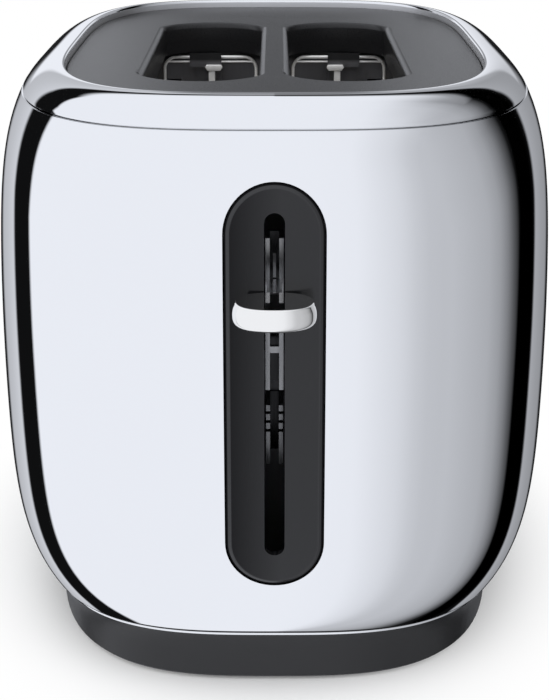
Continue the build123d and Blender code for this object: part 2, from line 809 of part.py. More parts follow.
def reflector(side):
    """Outer heat reflector, folded in at top and bottom, between the end plates."""
    x = sorted((side * reflector_spread / 2, side * (reflector_spread / 2 + sheet)))
    fold = sorted((side * (reflector_spread / 2 - reflector_flange), side * reflector_spread / 2))
    y0, y1 = front_plate_y + sheet, back_plate_y
    low, high = reflector_bottom, chassis_top
    panel = block(*x, y0, y1, low, high)
    panel += block(*fold, y0, y1, low, low + sheet)
    return panel + block(*fold, y0, y1, high - sheet, high)


def fascia_point(y, depth, z=fascia_centre_z):
    """X of the body's long side near the fascia, at a depth under its surface."""
    half = half_width_at(z)
    share = (1 - (abs(y) / (half + length_extra)) ** body_squareness) ** (1 / body_squareness)
    return -(half * share) + depth


def dial_place():
    return fascia_centre_y + dial_offset


def button_places():
    start = fascia_centre_y - fascia_length / 2 + fascia_height / 2 + button_pitch / 2
    return [start + i * button_pitch for i in range(buttons)]


def control_fascia():
    """Moulded pill-shaped fascia on the long side, with bosses that carry the board."""
    hole = fascia_hole(0)
    low, high = fascia_centre_z - fascia_height / 2 - 4, fascia_centre_z + fascia_height / 2 + 4
    plate = curved_plate(hole, panel_proud, -fascia_plate, low, high)
    for y in board_posts():
        plate += pin_x(board_post / 2, fascia_point(y, fascia_plate / 2), board_x, y, fascia_centre_z)
    bore = spindle_diameter / 2 + free_gap
    plate -= pin_x(bore, -body_width, board_x, dial_place(), fascia_centre_z)
    for y in button_places():
        plate -= pin_x(button_diameter / 2 + free_gap, -body_width, board_x, y, fascia_centre_z)
    return plate


def board_posts():
    return [fascia_centre_y + end * (fascia_length / 2 - fascia_height / 4) for end in (-1, 1)]


def dial_back():
    """X of the dial's flat back, clear of the fascia's curve under all of the dial."""
    radius = dial_diameter / 2
    return fascia_point(dial_place() - radius, -panel_proud - free_gap, fascia_centre_z + radius)


def browning_dial():
    """Turning dial with a rounded edge and a raised pointer, pocketed for its spindle."""
    y, z = dial_place(), fascia_centre_z
    back = dial_back()
    cap = pin_x(dial_diameter / 2, back - dial_height, back, y, z)
    cap = cap.fillet(1.6, cap.faces().sort_by(Axis.X)[0].edges())
    cap += block(back - dial_height - pointer_height, back - 1, y - 1, y + 1, z, z + dial_diameter / 2 - 1.5)
    return cap - dial_spindle(running_gap)


def dial_spindle(grow=0.0):
    """Spindle between the dial and the browning control."""
    outer = dial_back() - dial_height + 3
    return pin_x(spindle_diameter / 2 + grow, outer - grow, board_x - 2 + grow, dial_place(), fascia_centre_z)


def browning_control():
    """Rotary control on the board that the spindle turns in."""
    y = dial_place()
    can = pin_x(control_diameter / 2, board_x - control_depth, board_x, y, fascia_centre_z)
    return can - dial_spindle(running_gap)


def control_board():
    """Circuit board behind the fascia with a small switch under each button."""
    half = fascia_length / 2 - 4
    board = block(board_x, board_x + board_thickness, fascia_centre_y - half, fascia_centre_y + half,
                  fascia_centre_z - board_height / 2, fascia_centre_z + board_height / 2)
    for y in button_places():
        board += block(board_x - switch_height, board_x, y - 3, y + 3, fascia_centre_z - 3, fascia_centre_z + 3)
    return board


def push_button(y):
    """Round push button with a stem towards its switch and a collar behind the fascia."""
    z = fascia_centre_z
    face = fascia_point(y, -panel_proud - button_proud)
    inner = fascia_point(y, fascia_plate + free_gap)
    cap = pin_x(button_diameter / 2, face, inner + 1, y, z)
    cap = cap.chamfer(0.6, None, cap.faces().sort_by(Axis.X)[0].edges())
    cap += pin_x(button_diameter / 2 + 1.2, inner + 0.4, inner + 1.4, y, z)
    stem_end = board_x - switch_height - button_travel - free_gap
    return cap + pin_x(button_stem / 2, inner, stem_end, y, z)


def dial_reach():
    """How far the dial's pointer stands out past the body's side."""
    return dial_height + pointer_height - dial_back() - body_width / 2


def save(name, shape):
    """Move a piece so that the origin lies under the middle of the whole and write its file."""
    solids = shape if isinstance(shape, list) else [shape]
    moved = [Pos(dial_reach() / 2, lever_reach / 2, 0) * s for s in solids]
    export_step(moved[0] if len(moved) == 1 else Compound(children=moved), f"parts/{name}.step")


def main():
    os.makedirs("parts", exist_ok=True)
    save("body_shell", body_shell())
    save("top_ring", top_ring())
    save("top_deck", top_deck())
    save("base_plinth", base_plinth())
    save("bottom_pan", bottom_pan())
    save("rubber_feet", rubber_feet())
    save("base_screws", base_screws())
    save("crumb_tray", crumb_tray())
    save("cord_gland", cord_gland())
    save("terminal_block", terminal_block())
    save("lever_panel", lever_panel())
    save("lever_knob", lever_knob())
    save("lever_arm", lever_bar())
    save("carriage", carriage())
    save("keeper_plate", keeper_plate())
    save("magnet_core", magnet_core())
    save("magnet_coil", magnet_coil())
    save("guide_rod", guide_rod())
    save("guide_rail", guide_rail())
    save("carriage_spring", carriage_spring())
    save("front_plate", front_plate())
    save("back_plate", back_plate())
    for side, word in ((-1, "left"), (1, "right")):
        save(f"bread_lifter_{word}", bread_lifter(side))
        save(f"bread_guard_{word}_inner", bread_guard(side * inner_guard_spread / 2, side))
        save(f"bread_guard_{word}_outer", bread_guard(side * outer_guard_spread / 2, -side))
        save(f"heater_card_{word}", heater_card(side * outer_card_spread / 2))
        save(f"heater_ribbon_{word}", heater_ribbon(side * outer_card_spread / 2, -side))
        save(f"reflector_{word}", reflector(side))
    save("heater_card_centre", heater_card(0))
    save("heater_ribbons_centre", [heater_ribbon(0, -1), heater_ribbon(0, 1)])
    save("control_fascia", control_fascia())
    save("browning_dial", browning_dial())
    save("dial_spindle", dial_spindle())
    save("browning_control", browning_control())
    save("control_board", control_board())
    for name, y in zip(("cancel_button", "defrost_button", "reheat_button"), button_places()):
        save(name, push_button(y))


if __name__ == "__main__":
    main()
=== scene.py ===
import sys
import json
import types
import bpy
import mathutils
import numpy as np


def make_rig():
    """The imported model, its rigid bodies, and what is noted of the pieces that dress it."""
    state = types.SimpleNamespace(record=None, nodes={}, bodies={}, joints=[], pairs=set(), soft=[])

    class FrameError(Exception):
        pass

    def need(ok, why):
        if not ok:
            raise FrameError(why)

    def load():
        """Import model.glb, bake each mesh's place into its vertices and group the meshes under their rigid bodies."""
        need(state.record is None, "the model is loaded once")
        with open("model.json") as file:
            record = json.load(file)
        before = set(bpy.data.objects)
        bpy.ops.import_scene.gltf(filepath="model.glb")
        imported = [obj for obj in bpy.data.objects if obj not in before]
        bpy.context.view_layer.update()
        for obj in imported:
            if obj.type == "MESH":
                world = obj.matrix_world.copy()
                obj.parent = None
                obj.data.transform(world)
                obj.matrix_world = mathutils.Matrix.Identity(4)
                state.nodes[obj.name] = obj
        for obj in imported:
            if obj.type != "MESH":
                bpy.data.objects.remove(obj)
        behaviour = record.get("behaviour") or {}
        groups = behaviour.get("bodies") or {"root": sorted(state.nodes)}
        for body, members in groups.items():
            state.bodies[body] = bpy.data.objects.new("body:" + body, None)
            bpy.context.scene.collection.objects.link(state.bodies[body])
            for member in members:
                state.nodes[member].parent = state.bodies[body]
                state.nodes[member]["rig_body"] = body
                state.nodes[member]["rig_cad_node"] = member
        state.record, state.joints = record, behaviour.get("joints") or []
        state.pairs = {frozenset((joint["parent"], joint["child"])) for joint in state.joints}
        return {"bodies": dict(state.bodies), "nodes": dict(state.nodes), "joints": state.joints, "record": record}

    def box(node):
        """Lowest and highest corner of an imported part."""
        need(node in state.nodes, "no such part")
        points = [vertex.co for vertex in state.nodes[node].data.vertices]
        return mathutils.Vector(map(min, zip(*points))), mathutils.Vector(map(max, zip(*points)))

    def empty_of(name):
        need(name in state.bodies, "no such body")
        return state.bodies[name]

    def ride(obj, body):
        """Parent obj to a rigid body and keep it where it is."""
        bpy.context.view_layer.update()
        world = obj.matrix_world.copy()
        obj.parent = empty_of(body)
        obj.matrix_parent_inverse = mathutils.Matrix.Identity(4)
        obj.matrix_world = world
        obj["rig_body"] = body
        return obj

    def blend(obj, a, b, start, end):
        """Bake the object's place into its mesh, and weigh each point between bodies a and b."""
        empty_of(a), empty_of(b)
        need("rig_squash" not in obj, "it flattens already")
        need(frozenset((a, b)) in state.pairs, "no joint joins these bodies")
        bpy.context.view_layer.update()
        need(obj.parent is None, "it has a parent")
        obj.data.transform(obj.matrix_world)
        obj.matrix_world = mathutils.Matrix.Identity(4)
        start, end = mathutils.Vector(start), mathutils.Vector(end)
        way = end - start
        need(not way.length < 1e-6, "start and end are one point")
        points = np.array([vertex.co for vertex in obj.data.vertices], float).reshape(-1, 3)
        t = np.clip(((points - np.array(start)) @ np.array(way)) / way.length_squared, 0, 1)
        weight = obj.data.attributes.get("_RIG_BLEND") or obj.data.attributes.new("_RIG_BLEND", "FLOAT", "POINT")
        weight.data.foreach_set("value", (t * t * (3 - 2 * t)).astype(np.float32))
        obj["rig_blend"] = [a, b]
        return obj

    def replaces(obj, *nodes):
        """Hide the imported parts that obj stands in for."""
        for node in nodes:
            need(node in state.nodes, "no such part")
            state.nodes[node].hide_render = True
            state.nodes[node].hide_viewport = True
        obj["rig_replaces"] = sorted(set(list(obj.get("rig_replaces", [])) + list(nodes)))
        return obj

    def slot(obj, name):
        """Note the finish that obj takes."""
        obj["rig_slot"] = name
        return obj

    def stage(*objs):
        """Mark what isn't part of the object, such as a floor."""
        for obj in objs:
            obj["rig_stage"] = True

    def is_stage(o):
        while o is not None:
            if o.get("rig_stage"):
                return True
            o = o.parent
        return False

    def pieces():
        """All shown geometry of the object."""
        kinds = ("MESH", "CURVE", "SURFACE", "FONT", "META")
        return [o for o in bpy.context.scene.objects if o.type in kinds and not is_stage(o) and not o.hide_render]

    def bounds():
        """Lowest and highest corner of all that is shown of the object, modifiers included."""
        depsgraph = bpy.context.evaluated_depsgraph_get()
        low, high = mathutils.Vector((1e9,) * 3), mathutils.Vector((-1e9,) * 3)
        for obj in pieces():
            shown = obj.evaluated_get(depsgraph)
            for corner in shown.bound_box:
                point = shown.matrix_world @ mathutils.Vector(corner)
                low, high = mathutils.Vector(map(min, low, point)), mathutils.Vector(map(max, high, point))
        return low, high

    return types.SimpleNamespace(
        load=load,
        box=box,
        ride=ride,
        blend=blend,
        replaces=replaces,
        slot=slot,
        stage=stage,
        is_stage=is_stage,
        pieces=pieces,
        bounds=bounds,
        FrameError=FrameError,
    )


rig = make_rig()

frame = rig.load()

# Looks of a two-slice toaster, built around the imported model.
# Sizes are in millimetres round the body's middle, as a maker would draw them, and a Plan
# turns them into metres in the frame.

import json
import logging
import math
from dataclasses import dataclass, field
from enum import Enum
from typing import Callable, Iterable, Sequence

import bmesh
import bpy
from mathutils import Vector

log = logging.getLogger("toaster")

Colour = tuple[float, float, float]
Point = tuple[float, float, float]
Station = tuple[float, float]
Span = tuple[float, float]
Stop = tuple[float, Colour]
Socket = bpy.types.NodeSocket
Thing = bpy.types.Object
Material = bpy.types.Material
Placer = Callable[[float, float, float], Vector]

MM = 1000.0  # millimetres in a metre


# ---------------------------------------------------------------- the frame and its sizes


class Body(Enum):
    """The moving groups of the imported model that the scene's own pieces ride on."""

    HOUSING = "housing"
    LEVER = "lever"
    DIAL = "dial"
    GUARD_LEFT_INNER = "guard_left_inner"
    GUARD_LEFT_OUTER = "guard_left_outer"
    GUARD_RIGHT_INNER = "guard_right_inner"
    GUARD_RIGHT_OUTER = "guard_right_outer"


class Side(Enum):
    """Left or right of the body's middle, as seen from the lever end."""

    LEFT = "left"
    RIGHT = "right"


class Row(Enum):
    """Which of the two bread guards of a slot: the one by the body's middle, or the other."""

    INNER = "inner"
    OUTER = "outer"


@dataclass(frozen=True)
class Plan:
    """Where the body's middle lies in the frame."""

    middle_x: float
    middle_y: float

    @classmethod
    def from_frame(cls) -> "Plan":
        """Reads the body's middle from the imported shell."""
        low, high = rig.box("body_shell")
        return cls((low.x + high.x) / 2, (low.y + high.y) / 2)

    def at(self, x: float, y: float, z: float) -> Vector:
        """Place in the frame of a point in millimetres round the body's middle."""
        return Vector((self.middle_x + x / MM, self.middle_y + y / MM, z / MM))


@dataclass(frozen=True)
class BodyForm:
    """The rounded form that the shell, ring, plinth and panels share, in millimetres."""

    half_width: float = 92.5
    extra_length: float = 48.0
    hem_z: float = 16.9
    belly_z: float = 100.0
    seam_z: float = 175.7
    crest_z: float = 184.4
    hem_inset: float = 11.8
    shoulder_inset: float = 9.05
    crest_inset: float = 22.6
    squareness: float = 3.15
    crest_squareness: float = 3.5
    lower_roundness: float = 0.27
    upper_roundness: float = 0.40

    def half_at(self, z: float) -> float:
        """Half the body's width at a height: widest at the belly, drawn in above and below.

        Args:
            z: The height.

        Returns:
            Half the width, to the outside of the wall.
        """
        if z < self.belly_z:
            share = (self.belly_z - z) / (self.belly_z - self.hem_z)
            even, inset = self.lower_roundness, self.hem_inset
        else:
            share = (z - self.belly_z) / (self.seam_z - self.belly_z)
            even, inset = self.upper_roundness, self.shoulder_inset
        return self.half_width - inset * (even * share**2 + (1 - even) * share**6)

    def side_x(self, y: float, z: float, proud: float = 0.0) -> float:
        """X of the body's left side at a place.

        Args:
            y: Distance along the body from its middle.
            z: The height.
            proud: How far the place stands out of the side.

        Returns:
            The place's x.
        """
        half = self.half_at(z) + proud
        share = abs(y) / (half + self.extra_length)
        return -half * (1 - share**self.squareness) ** (1 / self.squareness)

    def outline(
        self, half: float, squareness: float, count: int, extra: float | None = None
    ) -> list[Station]:
        """Closed rounded-rectangle outline with its points about evenly spaced.

        Args:
            half: Half the outline's width.
            squareness: How square its corners are.
            count: Number of points.
            extra: How much longer than wide half of it is.

        Returns:
            Points as pairs of x and y.
        """
        longer = self.extra_length if extra is None else extra
        points = []
        for i in range(count):
            angle = 2 * math.pi * i / count
            c, s = math.cos(angle), math.sin(angle)
            reach = (abs(c) ** squareness + abs(s) ** squareness) ** (-1 / squareness)
            points.append((half * c * reach, (half + longer) * s * reach))
        return points

    def loop(self, half: float, z: float, squareness: float, count: int) -> list[Vector]:
        """Places in the frame along the body's outline at a height."""
        return [PLAN.at(x, y, z) for x, y in self.outline(half, squareness, count)]


PLAN = Plan.from_frame()
FORM = BodyForm()


def quarter(steps: int) -> list[float]:
    """Angles from nought to a quarter turn, in even steps."""
    return [math.pi / 2 * i / steps for i in range(steps + 1)]


def metres(span: Span, start: float = 0.0) -> Span:
    """A span given in millimetres from a start, in metres."""
    return start + span[0] / MM, start + span[1] / MM


def radians(span: Span) -> Span:
    """A span of degrees in radians."""
    return math.radians(span[0]), math.radians(span[1])


# ---------------------------------------------------------------- meshes


class Mesher:
    """Makes mesh objects from places in the frame and sizes in millimetres."""

    PILL_STEPS = 32
    BAR_STEPS = 4
    BAR_CORNERS = ((1, 1), (-1, 1), (-1, -1), (1, -1))
    BAR_ENDS = ((0.0, 0.8), (0.3, 0.94), (1.0, 1.0))
    LEAST_SIDE = 1e-3
    FONT_SCALE = 1.4
    FONT_STEPS = 3
    WELD_GAP = 1e-7

    @staticmethod
    def piece(
        name: str, vertices: Sequence[Vector], faces: Sequence[Sequence[int]], smooth: bool = True
    ) -> Thing:
        """Mesh object from places in the frame and faces.

        Args:
            name: The piece's name.
            vertices: Places in the frame.
            faces: Corner numbers of each face.
            smooth: Whether the faces shade as one curved skin.

        Returns:
            The new object, linked to the scene.
        """
        mesh = bpy.data.meshes.new(name)
        mesh.from_pydata([tuple(v) for v in vertices], [], [tuple(f) for f in faces])
        mesh.polygons.foreach_set("use_smooth", [smooth] * len(mesh.polygons))
        mesh.validate()
        thing = bpy.data.objects.new(name, mesh)
        bpy.context.scene.collection.objects.link(thing)
        return thing

    @staticmethod
    def rings(
        name: str, loops: Sequence[Sequence[Vector]], closed: bool = False, caps: bool = False
    ) -> Thing:
        """Skin over a row of closed loops that all have the same number of points.

        Args:
            name: The piece's name.
            loops: Loops of places in the frame.
            closed: Whether the last loop joins the first.
            caps: Whether the first and last loop are filled.

        Returns:
            The new object.
        """
        count = len(loops[0])
        vertices = [p for loop in loops for p in loop]
        faces = []
        steps = len(loops) if closed else len(loops) - 1
        for i in range(steps):
            a, b = i * count, ((i + 1) % len(loops)) * count
            faces += [(a + j, a + (j + 1) % count, b + (j + 1) % count, b + j) for j in range(count)]
        if caps:
            faces.append(tuple(reversed(range(count))))
            faces.append(tuple(range(len(vertices) - count, len(vertices))))
        thing = Mesher.piece(name, vertices, faces)
        Mesher.face_outwards(thing)
        return thing

    @staticmethod
    def face_outwards(thing: Thing) -> None:
        """Turns every face of a closed mesh outwards.

        Args:
            thing: The piece.
        """
        work = bmesh.new()
        work.from_mesh(thing.data)
        bmesh.ops.recalc_face_normals(work, faces=work.faces)
        work.to_mesh(thing.data)
        work.free()

    @staticmethod
    def sharpen(thing: Thing, degrees: float) -> None:
        """Marks the edges that turn more than an angle, so that they stay crisp."""
        thing.data.set_sharp_from_angle(angle=math.radians(degrees))

    @staticmethod
    def settle(thing: Thing) -> None:
        """Puts the result of an object's modifiers into its mesh.

        Args:
            thing: The piece.
        """
        graph = bpy.context.evaluated_depsgraph_get()
        mesh = bpy.data.meshes.new_from_object(thing.evaluated_get(graph))
        thing.modifiers.clear()
        thing.data = mesh

    @staticmethod
    def soften(thing: Thing, radius: float, segments: int = 3) -> None:
        """Rounds all edges of a piece.

        Args:
            thing: The piece.
            radius: How much is taken off each edge, in millimetres.
            segments: Faces across each rounded edge.
        """
        change = thing.modifiers.new("round_off", "BEVEL")
        change.width = radius / MM
        change.segments = segments
        Mesher.settle(thing)

    @staticmethod
    def cut(thing: Thing, cutters: Iterable[Thing]) -> None:
        """Cuts other objects out of one, and removes them.

        Args:
            thing: The piece that is cut.
            cutters: What is taken out of it.
        """
        cutters = list(cutters)
        for cutter in cutters:
            change = thing.modifiers.new(cutter.name, "BOOLEAN")
            change.operation = "DIFFERENCE"
            change.solver = "EXACT"
            change.object = cutter
        Mesher.settle(thing)
        for cutter in cutters:
            bpy.data.objects.remove(cutter, do_unlink=True)

    @staticmethod
    def pill_prism(name: str, width: float, height: float, place: Placer, depths: Span) -> Thing:
        """Prism with a pill-shaped outline.

        Args:
            name: The piece's name.
            width: The pill's full width, across its round ends.
            height: The pill's full length.
            place: Gives the place of a point from its distance across, along and deep.
            depths: Depth of the front face and of the back face.

        Returns:
            The new object.
        """
        radius, straight = width / 2, height / 2 - width / 2
        outline = []
        for end in (1, -1):
            for i in range(Mesher.PILL_STEPS + 1):
                angle = math.pi * i / Mesher.PILL_STEPS + (0 if end > 0 else math.pi)
                outline.append((radius * math.cos(angle), end * straight + radius * math.sin(angle)))
        loops = [[place(a, b, depth) for a, b in outline] for depth in depths]
        return Mesher.rings(name, loops, caps=True)

    @staticmethod
    def turned(name: str, profile: Sequence[Station], place: Placer, count: int) -> Thing:
        """Turned piece from a profile of radius and height, closed at its two ends.

        Args:
            name: The piece's name.
            profile: Pairs of radius and height from one end to the other.
            place: Gives the place of a point from its two distances across and its height.
            count: Points round the piece.

        Returns:
            The new object.
        """
        loops = []
        for radius, height in profile:
            turn = [2 * math.pi * i / count for i in range(count)]
            loops.append([place(radius * math.cos(t), radius * math.sin(t), height) for t in turn])
        return Mesher.rings(name, loops, caps=True)

    @staticmethod
    def wire(name: str, points: Sequence[Vector], radius: float, sides: int = 12) -> Thing:
        """Round wire along a row of places, with flat ends.

        Args:
            name: The piece's name.
            points: Places in the frame along the wire's middle.
            radius: The wire's radius in millimetres.
            sides: Points round the wire.

        Returns:
            The new object.
        """
        loops = []
        across = Vector((0, 0, 1))
        for i, point in enumerate(points):
            ahead = (points[min(i + 1, len(points) - 1)] - points[max(i - 1, 0)]).normalized()
            side = ahead.cross(across)
            if side.length < Mesher.LEAST_SIDE:
                side = ahead.cross(Vector((1, 0, 0)))
            side.normalize()
            across = side.cross(ahead).normalized()
            loop = []
            for k in range(sides):
                turn = 2 * math.pi * k / sides
                loop.append(point + (side * math.cos(turn) + across * math.sin(turn)) * radius / MM)
            loops.append(loop)
        return Mesher.rings(name, loops, caps=True)

    @staticmethod
    def bar(name: str, start: Vector, end: Vector, size: Span, corner: float) -> Thing:
        """Straight bar along Y with rounded edges and ends.

        Args:
            name: The piece's name.
            start: Middle of one end.
            end: Middle of the other end.
            size: Size along X and along Z in millimetres.
            corner: Radius of the edges in millimetres.

        Returns:
            The new object.
        """
        width, height = size
        outline = []
        for number, (sx, sz) in enumerate(Mesher.BAR_CORNERS):
            for i in range(Mesher.BAR_STEPS + 1):
                turn = math.pi / 2 * (number + i / Mesher.BAR_STEPS)
                x = sx * (width / 2 - corner) + corner * math.cos(turn)
                outline.append((x, sz * (height / 2 - corner) + corner * math.sin(turn)))
        way = (end - start).normalized()
        loops = []
        for tip, inward, ends in ((start, way, Mesher.BAR_ENDS), (end, -way, Mesher.BAR_ENDS[::-1])):
            for inset, share in ends:
                middle = tip + inward * (corner * inset / MM)
                loops.append([middle + Vector((x * share, 0, z * share)) / MM for x, z in outline])
        return Mesher.rings(name, loops, caps=True)

    @staticmethod
    def lettering(name: str, words: str, height: float, thickness: float, place: Placer) -> Thing:
        """Raised figures, laid on a surface.

        Args:
            name: The piece's name.
            words: The figures.
            height: Their height in millimetres.
            thickness: How far they stand out in millimetres.
            place: Gives the place of a point from its distance across, up and outwards.

        Returns:
            The new object.
        """
        curve = bpy.data.curves.new(name, "FONT")
        curve.body = words
        curve.size = height * Mesher.FONT_SCALE
        curve.extrude = thickness / 2
        curve.align_x = "CENTER"
        curve.align_y = "CENTER"
        curve.resolution_u = Mesher.FONT_STEPS
        thing = bpy.data.objects.new(name, curve)
        bpy.context.scene.collection.objects.link(thing)
        graph = bpy.context.evaluated_depsgraph_get()
        mesh = bpy.data.meshes.new_from_object(thing.evaluated_get(graph))
        bpy.data.objects.remove(thing, do_unlink=True)
        for vertex in mesh.vertices:
            across, up, out = vertex.co
            vertex.co = place(across, up, out + thickness / 2)
        piece = bpy.data.objects.new(name, mesh)
        bpy.context.scene.collection.objects.link(piece)
        work = bmesh.new()
        work.from_mesh(mesh)
        bmesh.ops.remove_doubles(work, verts=work.verts, dist=Mesher.WELD_GAP)
        bmesh.ops.recalc_face_normals(work, faces=work.faces)
        work.to_mesh(mesh)
        work.free()
        return piece

    @staticmethod
    def joined(name: str, things: Sequence[Thing]) -> Thing:
        """One object from several.

        Args:
            name: The name of the whole.
            things: Its parts; the first one becomes the whole and the others are removed.

        Returns:
            The whole.
        """
        work = bmesh.new()
        for thing in things:
            work.from_mesh(thing.data)
        first = things[0]
        mesh = bpy.data.meshes.new(name)
        work.to_mesh(mesh)
        work.free()
        for thing in things[1:]:
            bpy.data.objects.remove(thing, do_unlink=True)
        first.data = mesh
        first.name = name
        return first


# ---------------------------------------------------------------- finishes


class Ease(Enum):
    """How a step rises from none to one."""

    SMOOTH = "SMOOTHSTEP"
    EVEN = "LINEAR"


class Web:
    """Adds and joins the nodes of one tree."""

    def __init__(self, tree: bpy.types.NodeTree) -> None:
        """Takes a tree over and empties it."""
        self.nodes, self.links = tree.nodes, tree.links
        self.nodes.clear()

    def number(self, operation: str, first: Socket, second: Socket | float | None = None) -> Socket:
        """Result of one sum on one or two values.

        Args:
            operation: The sum's name.
            first: The first value.
            second: The second value, where the sum takes two.

        Returns:
            The result.
        """
        node = self.nodes.new("ShaderNodeMath")
        node.operation = operation
        self.links.new(first, node.inputs[0])
        if isinstance(second, float):
            node.inputs[1].default_value = second
        elif second is not None:
            self.links.new(second, node.inputs[1])
        return node.outputs["Value"]

    def step(self, value: Socket, span: Span, ease: Ease = Ease.SMOOTH) -> Socket:
        """Step from none to one.

        Args:
            value: What the step goes by.
            span: Where it starts and where it ends.
            ease: How it rises.

        Returns:
            The step's level.
        """
        node = self.nodes.new("ShaderNodeMapRange")
        node.interpolation_type = ease.value
        node.inputs["From Min"].default_value, node.inputs["From Max"].default_value = span
        self.links.new(value, node.inputs["Value"])
        return node.outputs["Result"]

    def blend(self, share: Socket, first: Socket | float, second: Socket | float) -> Socket:
        """Level between two levels.

        Args:
            share: Share of the second level.
            first: The first level.
            second: The second level.

        Returns:
            The blended level.
        """
        node = self.nodes.new("ShaderNodeMix")
        self.links.new(share, node.inputs["Factor"])
        for level, socket in ((first, node.inputs["A"]), (second, node.inputs["B"])):
            if isinstance(level, float):
                socket.default_value = level
            else:
                self.links.new(level, socket)
        return node.outputs["Result"]

    def tints(self, value: Socket, stops: Sequence[Stop]) -> Socket:
        """Colour picked along a row of stops.

        Args:
            value: Where along the row, from none to one.
            stops: Each stop's position and colour.

        Returns:
            The colour.
        """
        node = self.nodes.new("ShaderNodeValToRGB")
        ramp = node.color_ramp
        while len(ramp.elements) < len(stops):
            ramp.elements.new(0.5)
        for element, (position, colour) in zip(ramp.elements, stops):
            element.position = position
            element.color = (*colour, 1)
        self.links.new(value, node.inputs["Fac"])
        return node.outputs["Color"]

    def ramp(self, value: Socket, stops: Sequence[Station]) -> Socket:
        """Level picked along a row of angles.

        Args:
            value: An angle in radians.
            stops: Each stop's angle in degrees and its level.

        Returns:
            The level.
        """
        share = self.step(value, (0.0, math.pi), Ease.EVEN)
        return self.tints(share, [(degrees / 180, (level,) * 3) for degrees, level in stops])

    def tinted(self, level: Socket, tint: Colour) -> Socket:
        """A level turned into a faintly tinted colour.

        Args:
            level: The level.
            tint: The colour of a full level.

        Returns:
            The colour.
        """
        node = self.nodes.new("ShaderNodeVectorMath")
        node.operation = "SCALE"
        node.inputs[0].default_value = tint
        self.links.new(level, node.inputs["Scale"])
        return node.outputs["Vector"]

    def mixed(self, factor: Socket, first: bpy.types.Node, second: bpy.types.Node) -> bpy.types.Node:
        """Node that mixes two shaders.

        Args:
            factor: Share of the second shader.
            first: The first shader.
            second: The second shader.

        Returns:
            The mixing node.
        """
        node = self.nodes.new("ShaderNodeMixShader")
        self.links.new(factor, node.inputs["Fac"])
        self.links.new(first.outputs[0], node.inputs[1])
        self.links.new(second.outputs[0], node.inputs[2])
        return node


class Weave(Web):
    """Adds and joins the nodes of one material."""

    def __init__(self, name: str) -> None:
        """Starts a material with one shader and its output.

        Args:
            name: The material's name.
        """
        self.material = bpy.data.materials.new(name)
        self.material.use_nodes = True
        super().__init__(self.material.node_tree)
        self.output = self.nodes.new("ShaderNodeOutputMaterial")
        self.shader = self.nodes.new("ShaderNodeBsdfPrincipled")
        self.links.new(self.shader.outputs["BSDF"], self.output.inputs["Surface"])
        self.place = self.nodes.new("ShaderNodeTexCoord").outputs["Object"]

    def stretched(self, scale: Point) -> Socket:
        """Place in the piece, stretched.

        Args:
            scale: How much along each axis.

        Returns:
            The stretched place.
        """
        node = self.nodes.new("ShaderNodeMapping")
        node.inputs["Scale"].default_value = scale
        self.links.new(self.place, node.inputs["Vector"])
        return node.outputs["Vector"]

    def noise(self, scale: float, detail: float = 3.0, place: Socket | None = None) -> Socket:
        """Cloudy noise.

        Args:
            scale: Features per metre.
            detail: How fine it gets.
            place: Place that it goes by, where that isn't the piece's own.

        Returns:
            The noise's level.
        """
        node = self.nodes.new("ShaderNodeTexNoise")
        node.inputs["Scale"].default_value = scale
        node.inputs["Detail"].default_value = detail
        self.links.new(place or self.place, node.inputs["Vector"])
        return node.outputs["Fac"]

    def cells(self, scale: float) -> Socket:
        """Distance to the nearest of many scattered points.

        Args:
            scale: Points per metre.

        Returns:
            The distance.
        """
        node = self.nodes.new("ShaderNodeTexVoronoi")
        node.inputs["Scale"].default_value = scale
        self.links.new(self.place, node.inputs["Vector"])
        return node.outputs["Distance"]

    def remap(
        self, value: Socket, low: float, high: float, start: float = 0.3, end: float = 0.7
    ) -> Socket:
        """Value stretched from one span to another.

        Args:
            value: The value.
            low: Result where the value is at its start.
            high: Result where the value is at its end.
            start: The value's start.
            end: The value's end.

        Returns:
            The stretched value.
        """
        node = self.nodes.new("ShaderNodeMapRange")
        node.inputs["From Min"].default_value = start
        node.inputs["From Max"].default_value = end
        node.inputs["To Min"].default_value = low
        node.inputs["To Max"].default_value = high
        self.links.new(value, node.inputs["Value"])
        return node.outputs["Result"]

    def part(self, axis: str) -> Socket:
        """One part of the place in the piece.

        Args:
            axis: X, Y or Z.

        Returns:
            The part, in metres.
        """
        node = self.nodes.new("ShaderNodeSeparateXYZ")
        self.links.new(self.place, node.inputs[0])
        return node.outputs[axis]

    def bump(self, height: Socket, depth: float, strength: float = 1.0) -> None:
        """Raises the surface by a height.

        Args:
            height: The height, from none to one.
            depth: What a height of one stands for, in metres.
            strength: Share of the effect.
        """
        node = self.nodes.new("ShaderNodeBump")
        node.inputs["Strength"].default_value = strength
        node.inputs["Distance"].default_value = depth
        self.links.new(height, node.inputs["Height"])
        self.links.new(node.outputs["Normal"], self.shader.inputs["Normal"])

    def feed(self, value: Socket, socket: str) -> None:
        """Joins a value to one of the shader's sockets."""
        self.links.new(value, self.shader.inputs[socket])

    def fix(self, **values: float) -> None:
        """Sets constant values on the shader's own sockets, by name with _ for a space."""
        for name, value in values.items():
            self.shader.inputs[name.replace("_", " ")].default_value = value


def shaded(colour: Colour, amount: float) -> Colour:
    """A colour made lighter or darker by a factor."""
    return tuple(min(1.0, c * amount) for c in colour)


def shades(colour: Colour, factors: Sequence[Station]) -> list[Stop]:
    """Stops of one colour, from each stop's position and its factor."""
    return [(position, shaded(colour, amount)) for position, amount in factors]


def around(middle: float, spread: Span) -> Span:
    """A value with a spread below and above it."""
    return middle + spread[0], middle + spread[1]


